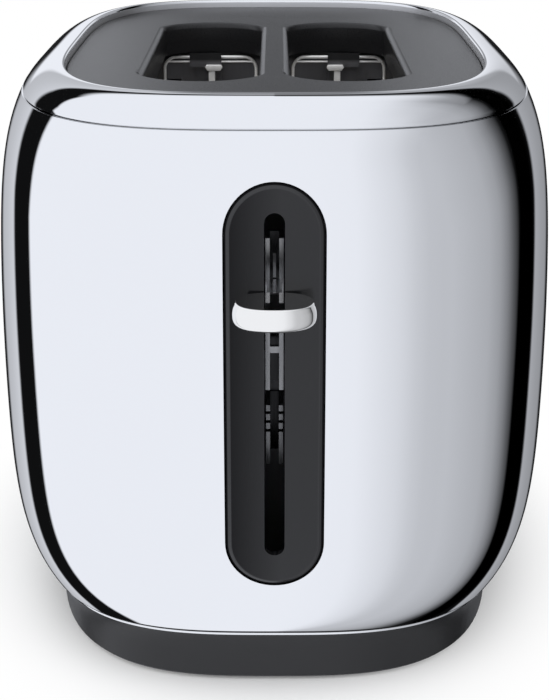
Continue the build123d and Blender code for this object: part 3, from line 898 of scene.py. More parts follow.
@dataclass(frozen=True)
class Coat:
    """A finish, laid with nodes on a material of its own."""

    name: str

    def material(self) -> Material:
        """Builds the finish's material.

        Returns:
            The material.
        """
        weave = Weave(self.name)
        self.lay(weave)
        return weave.material

    def lay(self, weave: Weave) -> None:
        """Lays the finish on the shader; each kind of finish has its own way."""


@dataclass(frozen=True)
class Polished(Coat):
    """Bright plated metal, with the faint haze that wiping leaves."""

    colour: Colour = (0.955, 0.96, 0.97)
    roughness: float = 0.02
    haze: float = 0.012

    CLOUD = (14, 4)
    SHADES = ((0.3, 0.992), (0.7, 1.0))

    def lay(self, weave: Weave) -> None:
        """Lays the finish.

        Args:
            weave: The material.
        """
        weave.fix(Metallic=1.0)
        cloud = weave.noise(*self.CLOUD)
        weave.feed(weave.tints(cloud, shades(self.colour, self.SHADES)), "Base Color")
        weave.feed(weave.remap(cloud, self.roughness, self.roughness + self.haze), "Roughness")


@dataclass(frozen=True)
class Brushed(Coat):
    """Sheet or bar metal with fine grain along one axis."""

    colour: Colour
    grain: Point = (40.0, 900.0, 900.0)
    roughness: float = 0.32
    depth: float = 0.00002
    stain: Colour | None = None

    CLOUD = (22, 3)
    SHADES = ((0.25, 0.9), (0.75, 1.06))
    STAIN_STOP = 0.25
    STAINED_SHADES = ((0.5, 1.0), (0.8, 1.08))
    SPREAD = (-0.08, 0.1)
    BUMP = 0.5

    def lay(self, weave: Weave) -> None:
        """Lays the finish.

        Args:
            weave: The material.
        """
        weave.fix(Metallic=1.0)
        lines = weave.noise(1.0, 3, weave.stretched(self.grain))
        cloud = weave.noise(*self.CLOUD)
        if self.stain:
            stops = [(self.STAIN_STOP, self.stain), *shades(self.colour, self.STAINED_SHADES)]
        else:
            stops = shades(self.colour, self.SHADES)
        weave.feed(weave.tints(cloud, stops), "Base Color")
        weave.feed(weave.remap(lines, *around(self.roughness, self.SPREAD)), "Roughness")
        weave.bump(lines, self.depth, self.BUMP)


@dataclass(frozen=True)
class Moulded(Coat):
    """Moulded plastic with a fine spark-eroded grain and a soft satin sheen."""

    colour: Colour
    roughness: float = 0.42
    grain: float = 2600.0
    depth: float = 0.000012
    specular: float = 0.5

    DETAIL = 4
    CLOUD = (18, 3)
    SHADES = ((0.3, 0.94), (0.7, 1.05))
    SPREAD = (-0.05, 0.06)
    BUMP = 0.6

    def lay(self, weave: Weave) -> None:
        """Lays the finish.

        Args:
            weave: The material.
        """
        self.polish(weave)
        grain = weave.noise(self.grain, self.DETAIL)
        cloud = weave.noise(*self.CLOUD)
        weave.feed(weave.tints(cloud, shades(self.colour, self.SHADES)), "Base Color")
        weave.feed(weave.remap(grain, *around(self.roughness, self.SPREAD)), "Roughness")
        weave.bump(grain, self.depth, self.BUMP)

    def polish(self, weave: Weave) -> None:
        """Sets the sheen, the same all over."""
        weave.fix(Specular_IOR_Level=self.specular)


@dataclass(frozen=True)
class DeckPlastic(Moulded):
    """The deck's satin plastic, with painted sheen: a weaker painted reflection at the back between the slots and to
    the right, and painted shade down its sleeves.
    """

    roughness: float = 0.30
    sheen: float = 0.42
    back_sheen: float = 0.62
    right_sheen: float = 0.74
    sleeve_sheen: float = 0.25
    lip_z: float = 179.0
    back_y: float = 72.0
    back_span: Span = (0.0, 12.0)
    between_span: Span = (36.0, 56.0)
    right_span: Span = (35.0, 55.0)
    sleeve_span: Span = (-4.0, 0.0)

    def polish(self, weave: Weave) -> None:
        """Paints the sheen weaker at the back between the slots and to the right, and paints shade down the sleeves.

        Args:
            weave: The material.
        """
        middle, back, lip = PLAN.at(0, 0, 0).x, PLAN.at(0, self.back_y, 0).y, self.lip_z / MM
        # Painted sheen: the reflection's strength is set by place, weaker at the back between the slots and to the
        # right.
        aside = weave.number("ABSOLUTE", weave.number("SUBTRACT", weave.part("X"), middle))
        behind = weave.remap(weave.part("Y"), 0.0, 1.0, *metres(self.back_span, back))
        between = weave.remap(aside, 1.0, 0.0, *metres(self.between_span))
        behind = weave.number("MULTIPLY", behind, between)
        sheen = weave.remap(behind, self.sheen, self.sheen * self.back_sheen, 0.0, 1.0)
        right = weave.remap(weave.part("X"), 1.0, self.right_sheen, *metres(self.right_span, middle))
        sheen = weave.number("MULTIPLY", sheen, right)
        # Painted shade: the sheen fades away down the sleeves below the lip.
        sleeve = weave.remap(weave.part("Z"), self.sleeve_sheen, 1.0, *metres(self.sleeve_span, lip))
        weave.feed(weave.number("MULTIPLY", sheen, sleeve), "Specular IOR Level")


@dataclass(frozen=True)
class PanelPlastic(Moulded):
    """The lever panel's glossy plastic, with painted light: a painted highlight on the bevel, a painted shadow line at
    the outer edge and a painted sheen that fades across the panel.
    """

    roughness: float = 0.16
    sheen: float = 0.5
    least_sheen: float = 0.12
    bevel_sheen: float = 0.72
    half_width: float = 14.4
    half_straight: float = 47.3
    middle_z: float = 100.1
    edge: float = 0.62
    bevel: float = 1.75
    sheen_span: Span = (-13.5, 2.0)
    bevel_run: float = 0.3
    edge_run: float = 0.2

    def polish(self, weave: Weave) -> None:
        """Paints the sheen fading across the panel, a painted highlight on the bevel and a painted shadow line at the
        edge.

        Args:
            weave: The material.
        """
        middle = PLAN.at(0, 0, self.middle_z)
        across = weave.number("SUBTRACT", weave.part("X"), middle.x)
        along = weave.number("SUBTRACT", weave.part("Z"), middle.z)
        along = weave.number("SUBTRACT", weave.number("ABSOLUTE", along), self.half_straight / MM)
        along = weave.number("MAXIMUM", along, 0.0)
        squares = [weave.number("MULTIPLY", part, part) for part in (across, along)]
        out = weave.number("SQRT", weave.number("ADD", *squares))
        rim, start = (self.half_width - self.edge) / MM, (self.half_width - self.bevel) / MM
        # Painted sheen: the reflection grows weaker towards the panel's left side.
        sheen = weave.remap(across, self.least_sheen, self.sheen, *metres(self.sheen_span))
        # Painted highlight: a band of strong sheen along the bevel.
        bevel = weave.remap(out, 0.0, self.bevel_sheen, *metres((0.0, self.bevel_run), start))
        sheen = weave.number("MAXIMUM", sheen, bevel)
        # Painted shadow: the sheen drops to none at the outer edge, which leaves a dark line.
        inside = weave.remap(out, 1.0, 0.0, *metres((0.0, self.edge_run), rim))
        weave.feed(weave.number("MULTIPLY", sheen, inside), "Specular IOR Level")


@dataclass(frozen=True)
class PaintedDepthShade(Coat):
    """Steel with painted shade: light at its front edge along Y, and darkening further in as painted shade."""

    bright: Colour
    dark: Colour
    edge_y: float
    reach: float = 0.004
    metallic: float = 0.85
    depth: float = 0.00002

    GRAIN = (700.0, 700.0, 40.0)
    STOPS = (0.1, 0.5)
    ROUGHNESS = (0.14, 0.28)
    BUMP = 0.4

    def lay(self, weave: Weave) -> None:
        """Lays the finish.

        Args:
            weave: The material.
        """
        lines = weave.noise(1.0, 3, weave.stretched(self.GRAIN))
        # Painted shade: the colour darkens with the distance behind the front edge.
        edge = PLAN.at(0, self.edge_y, 0).y
        depth = weave.remap(weave.part("Y"), 0.0, 1.0, edge, edge + self.reach)
        stops = list(zip(self.STOPS, (self.bright, self.dark)))
        weave.feed(weave.tints(depth, stops), "Base Color")
        weave.feed(weave.remap(lines, *self.ROUGHNESS), "Roughness")
        weave.fix(Metallic=self.metallic)
        weave.bump(lines, self.depth, self.BUMP)


@dataclass(frozen=True)
class PaintedShadeAbove(Coat):
    """Sheet steel that is painted black above a height, as painted shadow."""

    colour: Colour
    black: Colour
    low: float
    high: float
    depth: float = 0.00002

    GRAIN = (700.0, 700.0, 30.0)
    ROUGHNESS = (0.34, 0.54)
    METALLIC = (0.9, 0.1)
    BUMP = 0.4

    def lay(self, weave: Weave) -> None:
        """Lays the finish.

        Args:
            weave: The material.
        """
        lines = weave.noise(1.0, 3, weave.stretched(self.GRAIN))
        # Painted shadow: colour and metal fade to black above the height.
        height = weave.remap(weave.part("Z"), 0.0, 1.0, self.low, self.high)
        weave.feed(weave.tints(height, [(0.0, self.colour), (1.0, self.black)]), "Base Color")
        weave.feed(weave.remap(lines, *self.ROUGHNESS), "Roughness")
        weave.feed(weave.remap(height, *self.METALLIC, 0.0, 1.0), "Metallic")
        weave.bump(lines, self.depth, self.BUMP)


@dataclass(frozen=True)
class Plated(Coat):
    """Zinc or nickel plating with a milky sheen."""

    colour: Colour
    roughness: float = 0.34
    metallic: float = 0.45
    depth: float = 0.00001

    SPANGLES = 420
    CLOUD = (60, 3)
    SHADES = ((0.1, 0.93), (0.6, 1.0))
    SPREAD = (-0.06, 0.08)
    BUMP = 0.3

    def lay(self, weave: Weave) -> None:
        """Lays the finish.

        Args:
            weave: The material.
        """
        spangle = weave.cells(self.SPANGLES)
        cloud = weave.noise(*self.CLOUD)
        weave.feed(weave.tints(spangle, shades(self.colour, self.SHADES)), "Base Color")
        weave.feed(weave.remap(cloud, *around(self.roughness, self.SPREAD)), "Roughness")
        weave.fix(Metallic=self.metallic)
        weave.bump(spangle, self.depth, self.BUMP)


@dataclass(frozen=True)
class Rubbery(Coat):
    """Matt rubber with a little dust in its pores."""

    colour: Colour = (0.025, 0.025, 0.026)
    roughness: float = 0.82
    depth: float = 0.00003

    PORES = 1800
    DUST = (90, 4)
    SHADES = ((0.35, 1.0), (0.8, 2.2))
    BUMP = 0.5

    def lay(self, weave: Weave) -> None:
        """Lays the finish.

        Args:
            weave: The material.
        """
        pores = weave.cells(self.PORES)
        dust = weave.noise(*self.DUST)
        weave.feed(weave.tints(dust, shades(self.colour, self.SHADES)), "Base Color")
        weave.fix(Roughness=self.roughness)
        weave.bump(pores, self.depth, self.BUMP)


@dataclass(frozen=True)
class Laminated(Coat):
    """Flaky sheet such as mica or board, with patches of two shades."""

    colour: Colour
    patch: Colour
    scale: float = 160.0
    roughness: float = 0.5
    depth: float = 0.00003

    FINER = 4
    DETAIL = 4
    STOPS = (0.1, 0.55)
    SPREAD = (-0.1, 0.15)
    BUMP = 0.5

    def lay(self, weave: Weave) -> None:
        """Lays the finish.

        Args:
            weave: The material.
        """
        flakes = weave.cells(self.scale)
        fine = weave.noise(self.scale * self.FINER, self.DETAIL)
        stops = list(zip(self.STOPS, (self.colour, self.patch)))
        weave.feed(weave.tints(flakes, stops), "Base Color")
        weave.feed(weave.remap(fine, *around(self.roughness, self.SPREAD)), "Roughness")
        weave.bump(fine, self.depth, self.BUMP)


@dataclass(frozen=True)
class Wound(Coat):
    """Enamelled wire laid in close turns round an upright bobbin."""

    colour: Colour
    pitch: float = 1400.0
    metallic: float = 0.8
    roughness: float = 0.35
    depth: float = 0.0002

    UNEVEN = 0.4
    SHADES = ((0.1, 0.55), (0.7, 1.0))
    BUMP = 0.8

    def lay(self, weave: Weave) -> None:
        """Lays the finish.

        Args:
            weave: The material.
        """
        node = weave.nodes.new("ShaderNodeTexWave")
        node.bands_direction = "Z"
        node.inputs["Scale"].default_value = self.pitch
        node.inputs["Distortion"].default_value = self.UNEVEN
        weave.links.new(weave.place, node.inputs["Vector"])
        weave.fix(Metallic=self.metallic, Roughness=self.roughness)
        turns = node.outputs["Fac"]
        weave.feed(weave.tints(turns, shades(self.colour, self.SHADES)), "Base Color")
        weave.bump(turns, self.depth, self.BUMP)


class Finish(Enum):
    """Every finish on the toaster."""

    BODY = Polished("body_chrome")
    RING = Polished("ring_chrome", (0.95, 0.955, 0.965), 0.025)
    LIP = Polished("ring_lip_chrome", (0.80, 0.80, 0.81), 0.42, 0.08)
    # Painted shade: a near-black finish for the roll's underside above the hem, which draws a dark line there.
    CURL = Polished("body_curl_painted_shade", (0.02, 0.02, 0.022), 0.3, 0.05)
    KNOB = Polished("knob_chrome", (1.0, 0.985, 0.95), 0.02)
    # The deck's sheen is painted by place, with painted shade down the sleeves.
    DECK = DeckPlastic("deck_plastic", (0.012, 0.012, 0.013))
    PLINTH = Moulded("plinth_plastic", (0.012, 0.012, 0.013), 0.38)
    # The panel's sheen, bevel highlight and dark edge line are painted light and shade.
    PANEL = PanelPlastic("panel_plastic", (0.007, 0.007, 0.008))
    FASCIA = Moulded("fascia_plastic", (0.010, 0.010, 0.011), 0.20)
    DIAL = Moulded("dial_plastic", (0.012, 0.012, 0.013), 0.24)
    BUTTON = Moulded("button_plastic", (0.46, 0.47, 0.48), 0.28)
    MARKS = Moulded("marking_ink", (0.62, 0.62, 0.62), 0.5, 1500.0)
    TERMINAL = Moulded("terminal_plastic", (0.70, 0.69, 0.63), 0.5)
    SPINDLE = Moulded("spindle_plastic", (0.60, 0.59, 0.55), 0.45)
    CONTROL = Moulded("control_plastic", (0.04, 0.05, 0.10), 0.4)
    PAN = Brushed("pan_steel", (0.56, 0.57, 0.58), (30.0, 700.0, 700.0), 0.42)
    # Front and back plates: painted shadow, black above about 167 mm.
    PLATE = PaintedShadeAbove("plate_steel", (0.20, 0.20, 0.21), (0.012, 0.012, 0.013), 0.1665, 0.1680)
    TRAY = Brushed("tray_sheet", (0.62, 0.63, 0.64), (700.0, 30.0, 700.0), 0.38)
    # Carriage and rail: painted shade, which darkens the steel behind its front edges.
    CARRIAGE = PaintedDepthShade("carriage_steel", (0.34, 0.34, 0.345), (0.02, 0.02, 0.021), -118.2)
    RAIL = PaintedDepthShade("rail_steel", (0.26, 0.26, 0.265), (0.02, 0.02, 0.021), -95.7)
    ARM = Brushed("lever_steel", (0.55, 0.56, 0.57), (700.0, 40.0, 700.0), 0.3)
    GUARD = Plated("guard_wire", (1.0, 1.0, 1.0), 0.2, 0.2)
    FITTING = Plated("fitting_zinc", (0.96, 0.96, 0.96), 0.3, 0.1)
    LIFTER = Brushed("lifter_steel", (0.50, 0.50, 0.50), (700.0, 40.0, 700.0), 0.36)
    SCREW = Brushed("screw_steel", (0.52, 0.53, 0.55), (600.0, 600.0, 600.0), 0.3)
    ROD = Polished("rod_steel", (0.70, 0.71, 0.72), 0.16, 0.08)
    SPRING = Polished("spring_steel", (0.52, 0.53, 0.55), 0.22, 0.1)
    IRON = Brushed("keeper_iron", (0.30, 0.30, 0.31), (500.0, 500.0, 500.0), 0.5)
    REFLECTOR = Brushed("reflector_sheet", (0.34, 0.34, 0.35), (700.0, 700.0, 40.0), 0.25)
    RIBBON = Brushed(
        "ribbon_alloy", (0.26, 0.22, 0.20), (700.0, 60.0, 700.0), 0.5, stain=(0.12, 0.11, 0.16)
    )
    MICA = Laminated("mica_sheet", (0.58, 0.50, 0.37), (0.43, 0.36, 0.25))
    BOARD = Laminated("board_laminate", (0.03, 0.14, 0.05), (0.02, 0.09, 0.035), 300.0)
    COIL = Wound("coil_wire", (0.60, 0.27, 0.12))
    RUBBER = Rubbery("foot_rubber")


class Paintbox:
    """Keeps one Blender material for each finish."""

    def __init__(self) -> None:
        """Starts with no material made."""
        self.made: dict[Finish, Material] = {}

    def material(self, finish: Finish) -> Material:
        """The finish's material, made the first time it is asked for.

        Args:
            finish: The finish.

        Returns:
            Its material.
        """
        if finish not in self.made:
            self.made[finish] = finish.value.material()
        return self.made[finish]

    def dress(self, thing: Thing, finish: Finish) -> None:
        """Gives a piece one finish all over."""
        thing.data.materials.clear()
        thing.data.materials.append(self.material(finish))


PAINT = Paintbox()


# ---------------------------------------------------------------- sub-assemblies


class Assembly:
    """A group of pieces that is built, then dressed, and reported."""

    WELD_GAP = 0.000002
    FACE_WEIGHT = 100

    title = "assembly"

    def build(self) -> None:
        """Makes the group's own pieces."""

    def dress(self) -> None:
        """Gives the group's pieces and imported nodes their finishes."""

    def node(self, name: str, finish: Finish, smooth: float = 30.0) -> None:
        """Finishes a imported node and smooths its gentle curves.

        Args:
            name: The node's name.
            finish: Its finish.
            smooth: Edges that turn more than this many degrees stay crisp.
        """
        thing = frame["nodes"][name]
        PAINT.dress(thing, finish)
        thing.data.polygons.foreach_set("use_smooth", [True] * len(thing.data.polygons))
        weld = thing.modifiers.new("weld", "WELD")
        weld.merge_threshold = self.WELD_GAP
        split = thing.modifiers.new("crisp_edges", "EDGE_SPLIT")
        split.split_angle = math.radians(smooth)
        weighted = thing.modifiers.new("flat_faces", "WEIGHTED_NORMAL")
        weighted.weight = self.FACE_WEIGHT
        log.info("%s: packed node %s in %s", self.title, name, finish.value.name)

    def stand_for(self, thing: Thing, body: Body, slot: str, *nodes: str) -> None:
        """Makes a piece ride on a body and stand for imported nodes.

        Args:
            thing: The piece.
            body: The group it moves with.
            slot: The record's material slot it takes its finish from.
            nodes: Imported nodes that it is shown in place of.
        """
        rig.ride(thing, body.value)
        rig.slot(thing, slot)
        if nodes:
            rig.replaces(thing, *nodes)
        log.info("%s: piece %s with %d faces", self.title, thing.name, len(thing.data.polygons))


@dataclass
class BodyShell(Assembly):
    """Drawn and plated steel body with a rolled hem and the openings for both panels."""

    wall: float = 0.9
    hem_width: float = 4.0
    hem_roll: float = 0.7
    curl_rise: float = 1.26
    curl_radius: float = 3.6
    curl_start: float = math.radians(30)
    curl_end: float = math.radians(59)
    levels: int = 64
    around: int = 256
    panel_size: Span = (28.8, 123.4)
    panel_bottom: float = 38.4
    panel_cut: Span = (110.0, 160.0)
    fascia_size: Span = (34.0, 118.0)
    fascia_middle: Station = (12.0, 66.0)
    fascia_cut: Span = (70.0, 110.0)
    gap: float = 0.4
    lip_corner: tuple[Station, ...] = ((-0.14, 0.0), (-0.04, 0.05), (0.0, 0.15))
    lip_drop: float = 0.04
    curl_steps: int = 12
    seam_drop: float = 0.3
    seam_corner: tuple[Station, ...] = ((-0.12, -0.08), (-0.35, 0.0))
    hem_clear: float = 1.5
    crisp: float = 30.0
    edge_clear: Span = (0.1, 0.5)
    facing: float = 0.8
    curl_slack: Span = (0.02, 0.01)
    title: str = "body shell"
    skin: Thing | None = field(init=False, default=None)

    @property
    def wall_foot(self) -> float:
        """Height at which the wall proper begins, over the hem's roll."""
        return FORM.hem_z + self.hem_roll + self.curl_rise

    def section(self) -> list[Station]:
        """Closed section of the wall, from the hem up the outside and down the inside.

        Returns:
            Pairs of half width and height.
        """
        outside = []
        low, high = self.wall_foot, FORM.seam_z - self.seam_drop
        curl_x = FORM.half_at(low) - self.curl_radius * math.sin(self.curl_end)
        curl_z = low + self.curl_radius * math.cos(self.curl_end)
        lip_x = curl_x + self.curl_radius * math.sin(self.curl_start)
        outside += [(lip_x + a, FORM.hem_z + b) for a, b in self.lip_corner]
        outside.append((lip_x, curl_z - self.curl_radius * math.cos(self.curl_start) - self.lip_drop))
        for i in range(self.curl_steps + 1):
            turn = self.curl_start + (self.curl_end - self.curl_start) * i / self.curl_steps
            half = curl_x + self.curl_radius * math.sin(turn)
            outside.append((half, curl_z - self.curl_radius * math.cos(turn)))
        for i in range(1, self.levels + 1):
            z = low + (high - low) * i / self.levels
            outside.append((FORM.half_at(z), z))
        outside += [(FORM.half_at(high) + a, FORM.seam_z + b) for a, b in self.seam_corner]
        inside = [(FORM.half_at(high) - self.wall, FORM.seam_z)]
        for i in range(self.levels // 2, -1, -1):
            z = FORM.hem_z + self.wall + (high - FORM.hem_z - self.wall) * i / (self.levels // 2)
            inside.append((FORM.half_at(z) - self.wall, z))
        hem_half = FORM.half_at(FORM.hem_z) - self.hem_width
        inside = [(half, z) for half, z in inside if z > FORM.hem_z + self.hem_clear]
        inside += [(hem_half, FORM.hem_z + self.wall), (hem_half, FORM.hem_z)]
        return outside + inside

    def build(self) -> None:
        """Sweeps the wall's section round the body and cuts the two panel openings."""
        loops = [FORM.loop(half, z, FORM.squareness, self.around) for half, z in self.section()]
        self.skin = Mesher.rings("chrome_body", loops, closed=True)
        width, height = (size + 2 * self.gap for size in self.panel_size)
        middle = self.panel_bottom + self.panel_size[1] / 2
        front = Mesher.pill_prism(
            "panel_opening", width, height, lambda a, b, d: PLAN.at(a, -d, middle + b), self.panel_cut
        )
        width, height = (size + 2 * self.gap for size in self.fascia_size)
        y, z = self.fascia_middle
        side = Mesher.pill_prism(
            "fascia_opening", width, height, lambda a, b, d: PLAN.at(-d, y + b, z + a), self.fascia_cut
        )
        Mesher.cut(self.skin, (front, side))
        self.smooth_wall()

    def smooth_wall(self) -> None:
        """Gives the wall the form's true normals, so that the cuts don't disturb its mirror."""
        mesh = self.skin.data
        mesh.polygons.foreach_set("use_smooth", [True] * len(mesh.polygons))
        Mesher.sharpen(self.skin, self.crisp)
        normals = [corner.vector.copy() for corner in mesh.corner_normals]
        low, high = self.wall_foot + self.edge_clear[0], FORM.seam_z - self.edge_clear[1]
        for polygon in mesh.polygons:
            for corner in polygon.loop_indices:
                point = mesh.vertices[mesh.loops[corner].vertex_index].co
                true = self.true_normal(point)
                if low < point.z * MM < high and true.dot(polygon.normal) > self.facing:
                    normals[corner] = true
                elif low + 1 < point.z * MM < high and true.dot(polygon.normal) < -self.facing:
                    normals[corner] = -true
        mesh.normals_split_custom_set([tuple(n) for n in normals])

    def true_normal(self, place: Vector) -> Vector:
        """Outward normal of the body's form near a place.

        Args:
            place: The place in the frame.

        Returns:
            The normal, of length one.
        """
        x = (place.x - PLAN.middle_x) * MM
        y = (place.y - PLAN.middle_y) * MM
        z = place.z * MM
        step = 0.05
        half = FORM.half_at(z)
        rise = (FORM.half_at(z + step) - FORM.half_at(z - step)) / (2 * step)
        power = FORM.squareness
        across = abs(x / half) ** (power - 1) / half * math.copysign(1, x)
        length = half + FORM.extra_length
        along = abs(y / length) ** (power - 1) / length * math.copysign(1, y)
        upward = -(abs(x / half) ** power / half + abs(y / length) ** power / length) * rise
        return Vector((across, along, upward)).normalized()

    def dress(self) -> None:
        """Plates the body, and gives its rolled underside above the hem a near-black finish as painted shade."""
        PAINT.dress(self.skin, Finish.BODY)
        self.skin.data.materials.append(PAINT.material(Finish.CURL))
        # Painted shade: the roll's downward faces take the dark finish.
        steepest = -math.cos(self.curl_start) - self.curl_slack[0]
        flattest = -math.cos(self.curl_end) + self.curl_slack[1]
        top = self.wall_foot / MM
        for polygon in self.skin.data.polygons:
            if polygon.center.z < top and steepest < polygon.normal.z < flattest:
                polygon.material_index = 1
        self.stand_for(self.skin, Body.HOUSING, "chrome", "body_shell")


@dataclass
class TopRing(Assembly):
    """Polished shoulder ring with a rolled crest and an inner lip."""

    height: float = 8.7
    wall: float = 1.0
    seam_gap: float = 0.35
    skirt: float = 4.5
    lip_depth: float = 4.2
    steps: int = 24
    around: int = 256
    pull: Span = (0.55, 0.7)
    inner_from: float = 0.2
    roll_steps: int = 6
    roll_fall: float = 0.9
    lip_foot: float = 0.1
    lip_near: float = 0.02
    skirt_gap: float = 0.25
    skirt_thick: float = 1.2
    foot_inset: float = 0.3
    foot_corner: Station = (0.1, 0.06)
    foot_rise: float = 0.25
    crisp: float = 50.0
    title: str = "top ring"
    ring: Thing | None = field(init=False, default=None)
    lip_faces: range = field(init=False, default=range(0))

    def shoulder(self, share: float, depth: float = 0.0) -> Station:
        """Place on the shoulder's curve, which leaves the wall's line and ends level.

        Args:
            share: How far up the curve, from nought to one.
            depth: How deep under its surface.

        Returns:
            Half width and height.
        """
        step = 0.01
        slope = (FORM.half_at(FORM.seam_z) - FORM.half_at(FORM.seam_z - step)) / step
        lean = math.hypot(slope, 1)
        start_x = FORM.half_width - FORM.shoulder_inset - self.seam_gap
        crest_x = FORM.half_width - FORM.crest_inset
        start = Vector((start_x, FORM.seam_z + self.seam_gap))
        first = start + Vector((slope, 1)) * (self.pull[0] * self.height / lean)
        last = Vector((crest_x, FORM.crest_z))
        second = last + Vector((self.pull[1] * self.height, 0))
        u, v = share, 1 - share
        spot = start * v**3 + first * (3 * v * v * u) + second * (3 * v * u * u) + last * u**3
        way = (first - start) * (v * v) + (second - first) * (2 * v * u) + (last - second) * (u * u)
        way.normalize()
        return spot.x - depth * way.y, spot.y + depth * way.x

    def section(self) -> list[Point]:
        """Closed section: up the outside, round the crest, down the lip and back inside.

        Returns:
            Half width, height and squareness of each outline.
        """
        spread = FORM.crest_squareness - FORM.squareness
        outer, inner = [], []
        for i in range(self.steps + 1):
            share = i / self.steps
            outer.append((*self.shoulder(share), FORM.squareness + spread * share))
        for i in range(self.steps, -1, -2):
            share = self.inner_from + (1 - self.inner_from) * i / self.steps
            inner.append((*self.shoulder(share, self.wall), FORM.squareness + spread * share))
        crest_x = FORM.half_width - FORM.crest_inset
        roll = []
        for turn in quarter(self.roll_steps)[1:]:
            half = crest_x - self.wall * math.sin(turn)
            fall = self.roll_fall * self.wall * (1 - math.cos(turn))
            roll.append((half, FORM.crest_z - fall, FORM.crest_squareness))
        foot = FORM.crest_z - self.lip_depth
        halves = (crest_x - self.wall, crest_x - self.lip_foot)
        lip = [(half, foot, FORM.crest_squareness) for half in halves]
        skirt_half = FORM.half_width - FORM.shoulder_inset - self.wall - self.skirt_gap
        low = FORM.seam_z - self.skirt
        start = outer[0]
        skirt = [
            (skirt_half - self.skirt_thick, low, FORM.squareness),
            (skirt_half, low, FORM.squareness),
            (skirt_half, start[1], FORM.squareness),
            (start[0] - self.foot_inset, start[1], FORM.squareness),
        ]
        outer[0] = (start[0], start[1] + self.foot_rise, FORM.squareness)
        inset, rise = self.foot_corner
        outer.insert(0, (start[0] - inset, start[1] + rise, FORM.squareness))
        return outer + roll + lip + inner + skirt

    def build(self) -> None:
        """Sweeps the section round the body and notes which faces are the lip's."""
        loops = [FORM.loop(half, z, squareness, self.around) for half, z, squareness in self.section()]
        self.ring = Mesher.rings("shoulder_ring", loops, closed=True)
        Mesher.sharpen(self.ring, self.crisp)
        crest_x = FORM.half_width - FORM.crest_inset
        lip = [i for i, (half, z, _) in enumerate(self.section())
               if abs(half - crest_x + self.wall) < self.lip_near and z < FORM.crest_z]
        self.lip_faces = range(lip[0] * self.around, lip[-1] * self.around)

    def dress(self) -> None:
        """Plates the ring, with a duller inner lip."""
        PAINT.dress(self.ring, Finish.RING)
        self.ring.data.materials.append(PAINT.material(Finish.LIP))
        for i in self.lip_faces:
            self.ring.data.polygons[i].material_index = 1
        self.stand_for(self.ring, Body.HOUSING, "chrome_ring", "top_ring")


@dataclass
class LeverKnob(Assembly):
    """Polished pebble-shaped grip with a flat top and a rounded underside."""

    width: float = 23.7
    depth: float = 18.8
    thickness: float = 7.2
    top: float = 131.4
    front: float = -159.9
    squareness: float = 2.4
    corner: float = 0.7
    top_depth: float = 0.07
    around: int = 160
    waist: float = 0.5
    foot_share: float = 0.62
    foot_power: float = 0.42
    top_draw: float = 0.09
    levels: tuple[float, ...] = (
        0.003, 0.01, 0.02, 0.035, 0.055, 0.08, 0.11, 0.15, 0.2, 0.26, 0.33, 0.41, 0.5, 0.6, 0.7, 0.8
    )
    underside: tuple[Station, ...] = ((0.0, 0.0), (0.35, 0.0), (0.58, 0.001))
    top_flat: float = 0.1
    top_middle: float = 0.3
    least_share: float = 0.002
    corner_steps: int = 6
    crisp: float = 60.0
    title: str = "lever knob"
    knob: Thing | None = field(init=False, default=None)

    def share_at(self, rise: float) -> float:
        """Share of the full width at a rise.

        Args:
            rise: Share of the way from the underside to the top.

        Returns:
            The share, which is one in the middle.
        """
        if rise < self.waist:
            bulge = (1 - (1 - rise / self.waist) ** 3) ** self.foot_power
            return self.foot_share + (1 - self.foot_share) * bulge
        return 1.0 - self.top_draw * ((rise - self.waist) / (1 - self.waist)) ** 2

    def build(self) -> None:
        """Skins a stack of rounded outlines, closed over at top and bottom."""
        base = self.top - self.thickness
        middle_y = self.front + self.depth / 2
        shoulder = 1 - self.corner / self.thickness
        sections = list(self.underside)
        sections += [(self.share_at(rise), rise) for rise in self.levels]
        edge = self.share_at(shoulder)
        for turn in quarter(self.corner_steps):
            inset = 2 * self.corner / self.width * (1 - math.cos(turn))
            sections.append((edge - inset, shoulder + self.corner / self.thickness * math.sin(turn)))
        top_edge = sections[-1][0]
        sections += [(top_edge - self.top_flat, 1.0), (self.top_middle, 1.0), (0.0, 1.0)]
        loops = []
        for share, rise in sections:
            share = max(share, self.least_share)
            deeper = 1 + self.top_depth * max(0.0, rise - self.waist) / (1 - self.waist)
            extra = (self.depth * deeper - self.width) / 2 * share
            ring = FORM.outline(self.width / 2 * share, self.squareness, self.around, extra)
            loops.append([PLAN.at(x, middle_y + y, base + rise * self.thickness) for x, y in ring])
        self.knob = Mesher.rings("knob_grip", loops, caps=True)
        Mesher.sharpen(self.knob, self.crisp)

    def dress(self) -> None:
        """Plates the knob."""
        PAINT.dress(self.knob, Finish.KNOB)
        self.stand_for(self.knob, Body.LEVER, "knob_chrome", "lever_knob")


